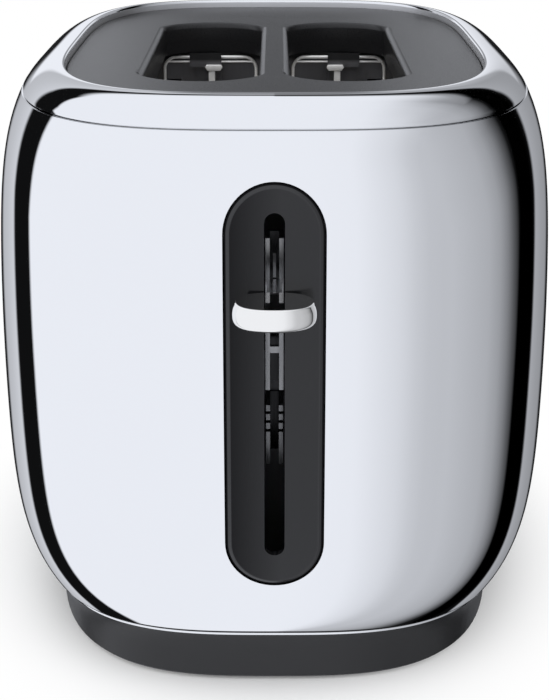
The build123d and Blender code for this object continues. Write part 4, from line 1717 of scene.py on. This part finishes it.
@dataclass
class Housing(Assembly):
    """Deck, plinth, panel and the fixed metalwork, shown as packed."""

    title: str = "housing"
    panel_smooth: float = 14.0

    NODES = (
        ("top_deck", Finish.DECK),
        ("base_plinth", Finish.PLINTH),
        ("bottom_pan", Finish.PAN),
        ("rubber_feet", Finish.RUBBER),
        ("base_screws", Finish.SCREW),
        ("cord_gland", Finish.RUBBER),
        ("terminal_block", Finish.TERMINAL),
        ("front_plate", Finish.PLATE),
        ("back_plate", Finish.PLATE),
        ("heater_card_centre", Finish.MICA),
        ("heater_ribbons_centre", Finish.RIBBON),
        ("magnet_core", Finish.IRON),
        ("magnet_coil", Finish.COIL),
        ("guide_rod", Finish.ROD),
        ("guide_rail", Finish.RAIL),
    )

    def dress(self) -> None:
        """Finishes every fixed node."""
        for name, finish in self.NODES:
            self.node(name, finish)
        self.node("lever_panel", Finish.PANEL, self.panel_smooth)
        for side in Side:
            self.node(f"reflector_{side.value}", Finish.REFLECTOR)
            self.node(f"heater_card_{side.value}", Finish.MICA)
            self.node(f"heater_ribbon_{side.value}", Finish.RIBBON)


@dataclass
class Mechanism(Assembly):
    """The lever's arm, carriage, keeper and lifters, and the crumb tray, shown as packed."""

    title: str = "mechanism"

    def dress(self) -> None:
        """Finishes the moving metalwork."""
        self.node("lever_arm", Finish.ARM)
        self.node("carriage", Finish.CARRIAGE)
        self.node("keeper_plate", Finish.IRON)
        for side in Side:
            self.node(f"bread_lifter_{side.value}", Finish.LIFTER)
        self.node("crumb_tray", Finish.TRAY)


@dataclass
class CarriageSpring(Assembly):
    """Return spring of one unbroken wire, which stretches between its fixed tab and the carriage."""

    turns: int = 8
    wire: float = 0.9
    steps: int = 24
    title: str = "carriage spring"
    coil: Thing | None = field(init=False, default=None)
    head: Vector | None = field(init=False, default=None)
    foot: Vector | None = field(init=False, default=None)

    def build(self) -> None:
        """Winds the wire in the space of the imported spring."""
        low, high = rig.box("carriage_spring")
        middle = (low + high) / 2
        thick = self.wire / MM
        radius = (high.x - low.x - thick) / 2
        self.head = Vector((middle.x, middle.y, high.z - thick / 2))
        self.foot = Vector((middle.x, middle.y, low.z + thick / 2))
        count = self.turns * self.steps
        path = []
        for i in range(count + 1):
            turn = 2 * math.pi * i / self.steps
            out = Vector((math.cos(turn), math.sin(turn), 0)) * radius
            path.append(self.foot.lerp(self.head, i / count) + out)
        self.coil = Mesher.wire("return_spring", path, self.wire / 2)

    def dress(self) -> None:
        """Finishes the spring and hangs it between the housing and the lever's carriage."""
        PAINT.dress(self.coil, Finish.SPRING)
        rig.blend(self.coil, Body.HOUSING.value, Body.LEVER.value, self.head, self.foot)
        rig.slot(self.coil, "spring_steel")
        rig.replaces(self.coil, "carriage_spring")
        log.info("%s: piece %s with %d faces", self.title, self.coil.name, len(self.coil.data.polygons))


@dataclass
class BreadGuard(Assembly):
    """One bread guard: round wires between two rails, with a bent arm over the well's end."""

    side: Side
    row: Row
    rail_x: float
    inward: int
    rail_heights: Span = (40.0, 158.0)
    rail_ends: Span = (-81.0, 66.2)
    rail_size: Span = (2.0, 2.6)
    rail_corner: float = 0.55
    wires: tuple[float, float, int] = (-71.7, 61.4, 7)
    wire_radius: float = 0.7
    arm_z: float = 168.7
    arm_bend: float = 4.5
    tip_x: float = 26.85
    tip_back: float = 5.4
    link_drop: float = 1.8
    link_radius: float = 0.42
    arm_radius: float = 0.62
    arm_rise: float = 20.0
    arm_rises: int = 6
    bend_steps: int = 12
    tip_gap: float = 0.15
    arm_sides: int = 16
    link_short: float = 1.0
    crisp: float = 50.0
    title: str = "bread guard"
    guard: Thing | None = field(init=False, default=None)

    def arm_path(self) -> list[Vector]:
        """Path of the bent wire.

        Returns:
            Places in the frame, from the lower rail to the arm's tip.
        """
        x, y = self.rail_x, self.wires[1]
        tip = math.copysign(self.tip_x, x) - self.inward * self.tip_back
        path = [PLAN.at(x, y, self.rail_heights[0] + i * self.arm_rise) for i in range(self.arm_rises)]
        for turn in quarter(self.bend_steps):
            across = x + self.inward * self.arm_bend * (1 - math.cos(turn))
            path.append(PLAN.at(across, y, self.arm_z - self.arm_bend + self.arm_bend * math.sin(turn)))
        path.append(PLAN.at((across + tip) / 2, y, self.arm_z))
        path.append(PLAN.at(tip - self.inward * self.tip_gap, y, self.arm_z))
        return path

    def build(self) -> None:
        """Lays the rails, the uprights, the bent wire and the short link below its arm."""
        first, last, count = self.wires
        parts = []
        for z in self.rail_heights:
            ends = [PLAN.at(self.rail_x, y, z) for y in self.rail_ends]
            parts.append(Mesher.bar("rail", *ends, self.rail_size, self.rail_corner))
        for i in range(count):
            y = first + (last - first) * i / count
            ends = [PLAN.at(self.rail_x, y, z) for z in self.rail_heights]
            parts.append(Mesher.wire("upright", ends, self.wire_radius))
        parts.append(Mesher.wire("arm", self.arm_path(), self.arm_radius, self.arm_sides))
        drop, bend = self.link_drop, self.arm_bend
        start = self.rail_x + self.inward * (bend - math.sqrt(bend**2 - (bend - drop) ** 2))
        tip = math.copysign(self.tip_x, self.rail_x) - self.inward * (self.tip_back - self.link_short)
        link = [PLAN.at(x, last, self.arm_z - drop) for x in (start, (start + tip) / 2, tip)]
        parts.append(Mesher.wire("link", link, self.link_radius))
        self.guard = Mesher.joined(f"guard_wires_{self.side.value}_{self.row.value}", parts)
        Mesher.sharpen(self.guard, self.crisp)

    def dress(self) -> None:
        """Plates the guard."""
        PAINT.dress(self.guard, Finish.GUARD)
        name = f"guard_{self.side.value}_{self.row.value}"
        self.stand_for(self.guard, Body(name), "guard_wire", f"bread_{name}")


@dataclass
class TailGuide(Assembly):
    """Bright stamped tongue with a flared head on a clip of the back plate, over a lifter's tail."""

    side: Side
    middle_x: float
    strip_x: float
    top: float = 166.0
    height: float = 2.3
    half_top: float = 3.4
    half_foot: float = 2.5
    face_y: float = 58.5
    plate_y: float = 59.8
    strip_half: float = 1.25
    strip_foot: float = 150.0
    flare_rise: float = 1.3
    flare_corner: float = 0.5
    strip_lap: float = 0.6
    strip_back: float = 0.6
    softness: float = 0.22
    crisp: float = 40.0
    title: str = "tail guide"
    guide: Thing | None = field(init=False, default=None)

    def build(self) -> None:
        """Makes the flared head and the strip below it."""
        x, foot = self.middle_x, self.top - self.height
        flare, corner = foot + self.flare_rise, self.half_top - self.flare_corner
        head = [
            (-self.half_foot, foot), (self.half_foot, foot), (self.half_top, flare),
            (corner, self.top), (-corner, self.top), (-self.half_top, flare),
        ]
        left, right = self.strip_x - self.strip_half, self.strip_x + self.strip_half
        lap, back = foot + self.strip_lap, self.face_y + self.strip_back
        strip = [(left, self.strip_foot), (right, self.strip_foot), (right, lap), (left, lap)]
        parts = []
        for name, outline, near in (("head", head, self.face_y), ("strip", strip, back)):
            loops = [[PLAN.at(x + a, y, z) for a, z in outline] for y in (near, self.plate_y)]
            part = Mesher.rings(name, loops, caps=True)
            Mesher.soften(part, self.softness)
            parts.append(part)
        self.guide = Mesher.joined(f"tail_guide_{self.side.value}", parts)
        Mesher.sharpen(self.guide, self.crisp)

    def dress(self) -> None:
        """Plates the guide."""
        PAINT.dress(self.guide, Finish.FITTING)
        self.stand_for(self.guide, Body.HOUSING, "plate_steel")


@dataclass
class BrowningDial(Assembly):
    """Turning dial with a fluted grip, a dished face and a raised pointer."""

    centre_y: float = 50.0
    centre_z: float = 66.0
    back_x: float = -92.42
    radius: float = 12.5
    height: float = 7.4
    pointer_height: float = 0.6
    flutes: int = 40
    flute_depth: float = 0.32
    around: int = 240
    edge_steps: int = 6
    edge_inset: float = 1.5
    edge_round: Span = (1.38, 1.4)
    pointer_half: float = 1.0
    pointer_inner: float = 0.6
    pointer_foot: float = 1.2
    line_half: float = 0.32
    line_ends: Span = (5.4, 2.0)
    line_rises: Span = (0.15, 0.005)
    softness: float = 0.22
    line_softness: float = 0.05
    crisp: float = 50.0
    title: str = "browning dial"
    cap: Thing | None = field(init=False, default=None)
    line: Thing | None = field(init=False, default=None)

    def place(self, across: float, up: float, out: float) -> Vector:
        """Place of a point from its distances on the dial, seen from outside."""
        return PLAN.at(self.back_x - out, self.centre_y - across, self.centre_z + up)

    SIDE_STEPS = (
        (-0.35, 0.0, 0), (-0.05, 0.12, 0), (0.0, 0.45, 0), (0.0, 0.95, 0),
        (0.0, 1.3, 1), (0.0, 3.2, 1), (0.0, 5.3, 1), (-0.12, 5.9, 0.4),
    )
    FACE_STEPS = ((-2.0, -0.02), (-2.4, -0.2), (-5.5, -0.42))
    DISH_STEPS = ((3.0, -0.5), (0.02, -0.5))

    def profile(self) -> list[Point]:
        """The cap's profile, from its back edge to the middle of its dished face.

        Returns:
            Radius, height and share of the flutes' depth at each step.
        """
        top, r = self.height, self.radius
        across, up = self.edge_round
        steps = [(r + out, rise, fluted) for out, rise, fluted in self.SIDE_STEPS]
        for turn in quarter(self.edge_steps):
            half = r - self.edge_inset + across * math.cos(turn)
            steps.append((half, top - up + up * math.sin(turn), 0))
        steps += [(r + out, top + rise, 0) for out, rise in self.FACE_STEPS]
        steps += [(half, top + rise, 0) for half, rise in self.DISH_STEPS]
        return steps

    def build(self) -> None:
        """Turns the cap with its flutes, and adds the pointer and its line."""
        loops = []
        for radius, out, fluted in self.profile():
            loop = []
            for i in range(self.around):
                turn = 2 * math.pi * i / self.around
                wave = fluted * self.flute_depth * (0.5 - 0.5 * math.cos(self.flutes * turn)) ** 2
                reach = radius - wave
                loop.append(self.place(reach * math.cos(turn), reach * math.sin(turn), out))
            loops.append(loop)
        cap = Mesher.rings("cap", loops, caps=True)
        r, top = self.radius, self.height + self.pointer_height
        reach = (self.pointer_inner, r - self.edge_inset)
        rise = (self.height - self.pointer_foot, top)
        pointer = self.rib("pointer", self.pointer_half, reach, rise, self.softness)
        self.cap = Mesher.joined("dial_cap", [cap, pointer])
        Mesher.sharpen(self.cap, self.crisp)
        reach = (r - self.line_ends[0], r - self.line_ends[1])
        rise = (top - self.line_rises[0], top - self.line_rises[1])
        self.line = self.rib("dial_line", self.line_half, reach, rise, self.line_softness)

    def rib(self, name: str, half: float, reach: Span, rise: Span, softness: float) -> Thing:
        """Raised rib along the dial's radius, with softened edges.

        Args:
            name: The piece's name.
            half: Half its width.
            reach: Radius of its inner and outer end.
            rise: Height of its foot and of its top.
            softness: How much its edges are rounded.

        Returns:
            The new object.
        """
        inner, outer = reach
        outline = [(-half, inner), (half, inner), (half, outer), (-half, outer)]
        loops = [[self.place(a, b, out) for a, b in outline] for out in rise]
        rib = Mesher.rings(name, loops, caps=True)
        Mesher.soften(rib, softness)
        return rib

    def dress(self) -> None:
        """Finishes the dial and its line."""
        PAINT.dress(self.cap, Finish.DIAL)
        self.stand_for(self.cap, Body.DIAL, "dial_plastic", "browning_dial")
        PAINT.dress(self.line, Finish.MARKS)
        self.stand_for(self.line, Body.DIAL, "dial_plastic")
        self.node("dial_spindle", Finish.SPINDLE)


@dataclass
class DialMarks(Assembly):
    """Printed scale round the dial: numbers one to seven with dots between them."""

    centre_y: float = 50.0
    centre_z: float = 66.0
    number_radius: float = 14.7
    figure_height: float = 2.0
    sweep: float = 270.0
    steps: int = 7
    thickness: float = 0.04
    proud: float = 0.3
    dot_radius: float = 0.26
    dot_middle: float = 0.02
    dot_sides: int = 16
    crisp: float = 30.0
    title: str = "dial marks"
    marks: Thing | None = field(init=False, default=None)

    def place(self, across: float, up: float, out: float) -> Vector:
        """Place on the fascia's curved face, seen from outside."""
        y, z = self.centre_y - across, self.centre_z + up
        return PLAN.at(FORM.side_x(y, z, self.proud) - out, y, z)

    def spot(self, number: float) -> Placer:
        """Where a mark of the scale lies.

        Args:
            number: How many steps along the scale, from nought.

        Returns:
            What gives the place of a point from its distances round the mark's middle.
        """
        turn = math.radians(-self.sweep / 2 + self.sweep * number / (self.steps - 1))
        a, b = self.number_radius * math.sin(turn), self.number_radius * math.cos(turn)
        return lambda u, v, w: self.place(a + u, b + v, w)

    def build(self) -> None:
        """Lays out the figures and the dots between them."""
        parts = []
        for i in range(self.steps):
            name, words = f"figure_{i + 1}", str(i + 1)
            parts.append(Mesher.lettering(name, words, self.figure_height, self.thickness, self.spot(i)))
        rim, middle, top = self.dot_radius, self.dot_middle, self.thickness
        for i in range(self.steps - 1):
            profile = [(rim, 0.0), (rim, top), (middle, top)]
            parts.append(Mesher.turned(f"dot_{i + 1}", profile, self.spot(i + 0.5), self.dot_sides))
        self.marks = Mesher.joined("dial_numbers", parts)
        Mesher.sharpen(self.marks, self.crisp)

    def dress(self) -> None:
        """Inks the scale."""
        PAINT.dress(self.marks, Finish.MARKS)
        self.stand_for(self.marks, Body.HOUSING, "fascia_plastic")


@dataclass
class Controls(Assembly):
    """Fascia, buttons and the works behind them on the long side."""

    title: str = "controls"
    fascia_smooth: float = 14.0

    def dress(self) -> None:
        """Finishes the controls."""
        self.node("control_fascia", Finish.FASCIA, self.fascia_smooth)
        self.node("browning_control", Finish.CONTROL)
        self.node("control_board", Finish.BOARD)
        for name in ("cancel_button", "defrost_button", "reheat_button"):
            self.node(name, Finish.BUTTON)


# ---------------------------------------------------------------- studio


@dataclass(frozen=True)
class Lamp:
    """A soft square lamp that the metal doesn't mirror, in metres and watts."""

    name: str
    place: Point
    size: float
    power: float
    aim: Point = (0, 0, 0.1)

    def hang(self) -> None:
        """Hangs the lamp in its place and turns it to its aim."""
        data = bpy.data.lights.new(self.name, "AREA")
        data.shape = "SQUARE"
        data.size = self.size
        data.energy = self.power
        thing = bpy.data.objects.new(self.name, data)
        thing.location = self.place
        way = Vector(self.aim) - Vector(self.place)
        thing.rotation_euler = way.to_track_quat("-Z", "Y").to_euler()
        thing.visible_glossy = False
        bpy.context.scene.collection.objects.link(thing)


class Surroundings(Web):
    """White studio with a grey screen to the right and dark flags behind, as the metal shows it.

    Rises are the upward part of a reflected direction. A row of stops gives a level at angles in
    degrees: the flags' go from the way to the camera, the others' round the upright to the right.
    """

    FLAGS = (
        (0, 1.0), (120, 1.0), (122.3, 0.006), (139, 0.006), (141.5, 0.72), (150, 0.62), (158, 0.56),
        (162, 0.012), (168, 0.03), (180, 0.45),
    )
    SCREEN = (
        (0, 1.0), (12, 0.97), (20, 0.88), (28, 0.80), (36, 0.69), (43, 0.63), (52, 0.61), (165, 0.61),
        (175, 1.0),
    )
    FALL = (
        (0, 1.0), (58, 1.0), (72, 0.91), (88, 0.81), (99, 0.64), (107, 0.41), (113, 0.19), (119.5, 0.012),
        (135, 0.012), (139, 1.0),
    )
    LEAN_RISES = (-0.14, 0.36)
    LEAN = 10
    HORIZON_RISES = (0.0, 0.05)
    REAR = (155, 157)
    OPEN_RISES = (0.59, 0.68)
    HIGH_RISES = (0.35, 0.75)
    LEVEL_RISES = (-0.10, 0.10)
    LIFT = 0.45
    RIGHTWARD = (5, 30)
    BEHIND = (176, 162)
    STRIP = (174.0, 177.6)
    STRIP_RISES = (0.55, 0.35)
    STRIP_DEPTH = 0.66
    TINT = (0.85, 0.873, 0.933)

    def __init__(self, world: bpy.types.World, pitch: float, sky_level: float) -> None:
        """Takes the world's nodes over and finds the parts of the reflected direction.

        Args:
            world: The scene's world.
            pitch: How far the camera looks down, in degrees.
            sky_level: Level of the light that falls on everything.
        """
        world.use_nodes = True
        super().__init__(world.node_tree)
        self.pitch = math.radians(pitch)
        self.sky_level = sky_level
        self.way = self.nodes.new("ShaderNodeTexCoord").outputs["Generated"]
        parts = self.nodes.new("ShaderNodeSeparateXYZ")
        self.links.new(self.way, parts.inputs[0])
        self.x, self.y, self.z = (parts.outputs[axis] for axis in "XYZ")
        self.over = self.step(self.z, self.HORIZON_RISES)
        self.open_top = self.step(self.z, self.OPEN_RISES)
        self.high = self.step(self.z, self.HIGH_RISES)
        ahead = self.number("MULTIPLY", self.y, -1.0)
        self.side = self.number("ARCTAN2", self.x, ahead)

    def cone(self) -> Socket:
        """Angle away from the way to the camera, which leans with the rise.

        Returns:
            The angle in radians.
        """
        turn = self.nodes.new("ShaderNodeVectorMath")
        turn.operation = "DOT_PRODUCT"
        turn.inputs[1].default_value = (0, -math.cos(self.pitch), math.sin(self.pitch))
        self.links.new(self.way, turn.inputs[0])
        cone = self.number("ARCCOSINE", turn.outputs["Value"])
        lean = self.step(self.z, self.LEAN_RISES, Ease.EVEN)
        shift = self.number("MULTIPLY", lean, math.radians(self.LEAN))
        return self.number("ADD", cone, shift)

    def flags(self, cone: Socket) -> Socket:
        """Dark flags behind the object, which end low at the rear and high overhead.

        Args:
            cone: Angle away from the way to the camera.

        Returns:
            The flags' level.
        """
        flags = self.ramp(cone, self.FLAGS)
        rear = self.number("MULTIPLY", self.step(cone, radians(self.REAR)), self.over)
        flags = self.blend(rear, flags, 1.0)
        return self.blend(self.open_top, flags, 1.0)

    def screen(self, cone: Socket) -> Socket:
        """Grey screen to the right, and how the studio falls off to the other side.

        Args:
            cone: Angle away from the way to the camera.

        Returns:
            The screen's level.
        """
        aside = self.number("ARCSINE", self.x)
        sideways = self.blend(self.high, self.side, aside)
        screen = self.ramp(sideways, self.SCREEN)
        round_side = self.blend(self.step(self.z, self.LEVEL_RISES), self.side, cone)
        fall = self.ramp(round_side, self.FALL)
        fall = self.number("MAXIMUM", fall, self.number("MULTIPLY", self.open_top, self.LIFT))
        rightward = self.step(sideways, radians(self.RIGHTWARD))
        behind = self.blend(self.high, self.step(self.side, radians(self.BEHIND)), 1.0)
        rightward = self.number("MULTIPLY", rightward, behind)
        return self.number("MULTIPLY", screen, self.blend(rightward, 1.0, fall))

    def strip(self) -> Socket:
        """Narrow grey strip straight behind the object.

        Returns:
            The strip's level, which is one beside it.
        """
        turned = self.number("ABSOLUTE", self.side)
        strip = self.step(turned, radians(self.STRIP))
        strip = self.number("MULTIPLY", strip, self.over)
        strip = self.number("MULTIPLY", strip, self.step(self.z, self.STRIP_RISES))
        strip = self.number("MULTIPLY", strip, -self.STRIP_DEPTH)
        return self.number("ADD", strip, 1.0)

    def background(self, strength: float = 1.0) -> bpy.types.Node:
        """Plain white background.

        Args:
            strength: Its strength.

        Returns:
            Its node.
        """
        node = self.nodes.new("ShaderNodeBackground")
        node.inputs["Color"].default_value = (1, 1, 1, 1)
        node.inputs["Strength"].default_value = strength
        return node

    def build(self) -> None:
        """Shows the studio to reflections, white to the camera and an even sky to the rest."""
        cone = self.cone()
        level = self.number("MULTIPLY", self.flags(cone), self.screen(cone))
        level = self.number("MULTIPLY", level, self.strip())
        path = self.nodes.new("ShaderNodeLightPath").outputs
        mirror = self.nodes.new("ShaderNodeBackground")
        self.links.new(self.tinted(level, self.TINT), mirror.inputs["Color"])
        first = self.mixed(path["Is Glossy Ray"], self.background(self.sky_level), mirror)
        second = self.mixed(path["Is Transmission Ray"], first, mirror)
        last = self.mixed(path["Is Camera Ray"], second, self.background())
        output = self.nodes.new("ShaderNodeOutputWorld")
        self.links.new(last.outputs[0], output.inputs["Surface"])


@dataclass
class Studio:
    """Camera, pale floor and soft light."""

    camera_back: float = 608.67
    camera_height: float = 264.94
    camera_pitch: float = 17.88
    camera_lens: float = 88.09
    camera_reach: Span = (0.05, 50.0)
    floor_size: float = 12.0
    floor_colour: Colour = (0.93, 0.935, 0.94)
    floor_fibre: Span = (60.0, 4.0)
    floor_shades: tuple[Station, ...] = ((0.3, 0.995), (0.7, 1.0))
    floor_roughness: float = 0.9
    white_span: Span = (0.108, 0.188)
    white_shift: float = 0.003
    white_stretch: float = 1.52
    sky_level: float = 0.80
    lamps: tuple[Lamp, ...] = (
        Lamp("top_light", (-0.2, -0.2, 1.6), 1.4, 9.0),
        Lamp("left_light", (-1.4, -0.9, 1.1), 1.0, 4.0),
        Lamp("right_light", (1.4, -0.9, 1.1), 1.0, 3.0),
    )

    def camera(self) -> None:
        """Sets the camera where the photograph was taken from."""
        data = bpy.data.cameras.new("camera")
        data.lens = self.camera_lens
        data.clip_start, data.clip_end = self.camera_reach
        thing = bpy.data.objects.new("camera", data)
        thing.location = PLAN.at(0, -self.camera_back, self.camera_height)
        thing.rotation_euler = (math.radians(90 - self.camera_pitch), 0, 0)
        bpy.context.scene.collection.objects.link(thing)
        bpy.context.scene.camera = thing

    def floor(self) -> None:
        """Lays a pale floor that fades to white away from the object."""
        half = self.floor_size / 2
        corners = [Vector((x * half, y * half, 0)) for x, y in ((-1, -1), (1, -1), (1, 1), (-1, 1))]
        floor = Mesher.piece("floor", corners, [(0, 1, 2, 3)], smooth=False)
        weave = Weave("floor_paper")
        fibre = weave.noise(*self.floor_fibre)
        weave.feed(weave.tints(fibre, shades(self.floor_colour, self.floor_shades)), "Base Color")
        weave.fix(Roughness=self.floor_roughness, Specular_IOR_Level=0.0)
        path = weave.nodes.new("ShaderNodeLightPath")
        seen = weave.number("MULTIPLY", self.whiteness(weave), path.outputs["Is Camera Ray"])
        white = weave.nodes.new("ShaderNodeEmission")
        mix = weave.mixed(seen, weave.shader, white)
        weave.links.new(mix.outputs["Shader"], weave.output.inputs["Surface"])
        floor.data.materials.append(weave.material)
        floor.visible_glossy = False
        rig.stage(floor)

    def whiteness(self, weave: Weave) -> Socket:
        """How white the floor is, by the distance from the object.

        Args:
            weave: The floor's material.

        Returns:
            Nought by the object and one away from it.
        """
        round_object = weave.nodes.new("ShaderNodeMapping")
        round_object.vector_type = "TEXTURE"
        middle = (PLAN.middle_x - self.white_shift, PLAN.middle_y, 0)
        round_object.inputs["Location"].default_value = middle
        round_object.inputs["Scale"].default_value = (1 / self.white_stretch, 1, 1)
        weave.links.new(weave.place, round_object.inputs["Vector"])
        far = weave.nodes.new("ShaderNodeVectorMath")
        far.operation = "LENGTH"
        weave.links.new(round_object.outputs["Vector"], far.inputs[0])
        return weave.step(far.outputs["Value"], self.white_span)

    def build(self) -> None:
        """Sets up the whole studio."""
        self.camera()
        self.floor()
        world = bpy.data.worlds.new("studio")
        bpy.context.scene.world = world
        Surroundings(world, self.camera_pitch, self.sky_level).build()
        for lamp in self.lamps:
            lamp.hang()
        log.info("studio ready")


def clear_start() -> None:
    """Removes what Blender's start file holds, and keeps the frame."""
    kept = set(frame["nodes"].values()) | set(frame["bodies"].values())
    for thing in list(bpy.data.objects):
        if thing not in kept:
            bpy.data.objects.remove(thing, do_unlink=True)


def write_sizes(start: tuple[Vector, Vector]) -> None:
    """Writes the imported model's box and the visual model's box.

    Args:
        start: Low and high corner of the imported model.
    """
    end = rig.bounds()
    boxes = {"cad": [list(v) for v in start], "visual": [list(v) for v in end]}
    with open("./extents.json", "w") as out:
        json.dump(boxes, out)


def main() -> None:
    """Builds the toaster's looks, one group at a time."""
    logging.basicConfig(level=logging.INFO, format="%(name)s: %(message)s", stream=sys.stdout)
    clear_start()
    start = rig.bounds()
    bpy.context.scene.view_settings.view_transform = "Standard"
    guards = [
        BreadGuard(Side.LEFT, Row.INNER, -7.2, -1),
        BreadGuard(Side.LEFT, Row.OUTER, -42.8, 1),
        BreadGuard(Side.RIGHT, Row.INNER, 7.2, 1),
        BreadGuard(Side.RIGHT, Row.OUTER, 42.8, -1),
    ]
    guides = [TailGuide(Side.LEFT, -23.6, -0.8), TailGuide(Side.RIGHT, 23.6, 0.8)]
    fixed = [BodyShell(), TopRing(), LeverKnob(), Housing(), Mechanism(), CarriageSpring()]
    for group in (*fixed, *guards, *guides, Controls(), BrowningDial(), DialMarks()):
        group.build()
        group.dress()
        log.info("%s done", group.title)
    Studio().build()
    write_sizes(start)


if __name__ == "__main__":
    main()
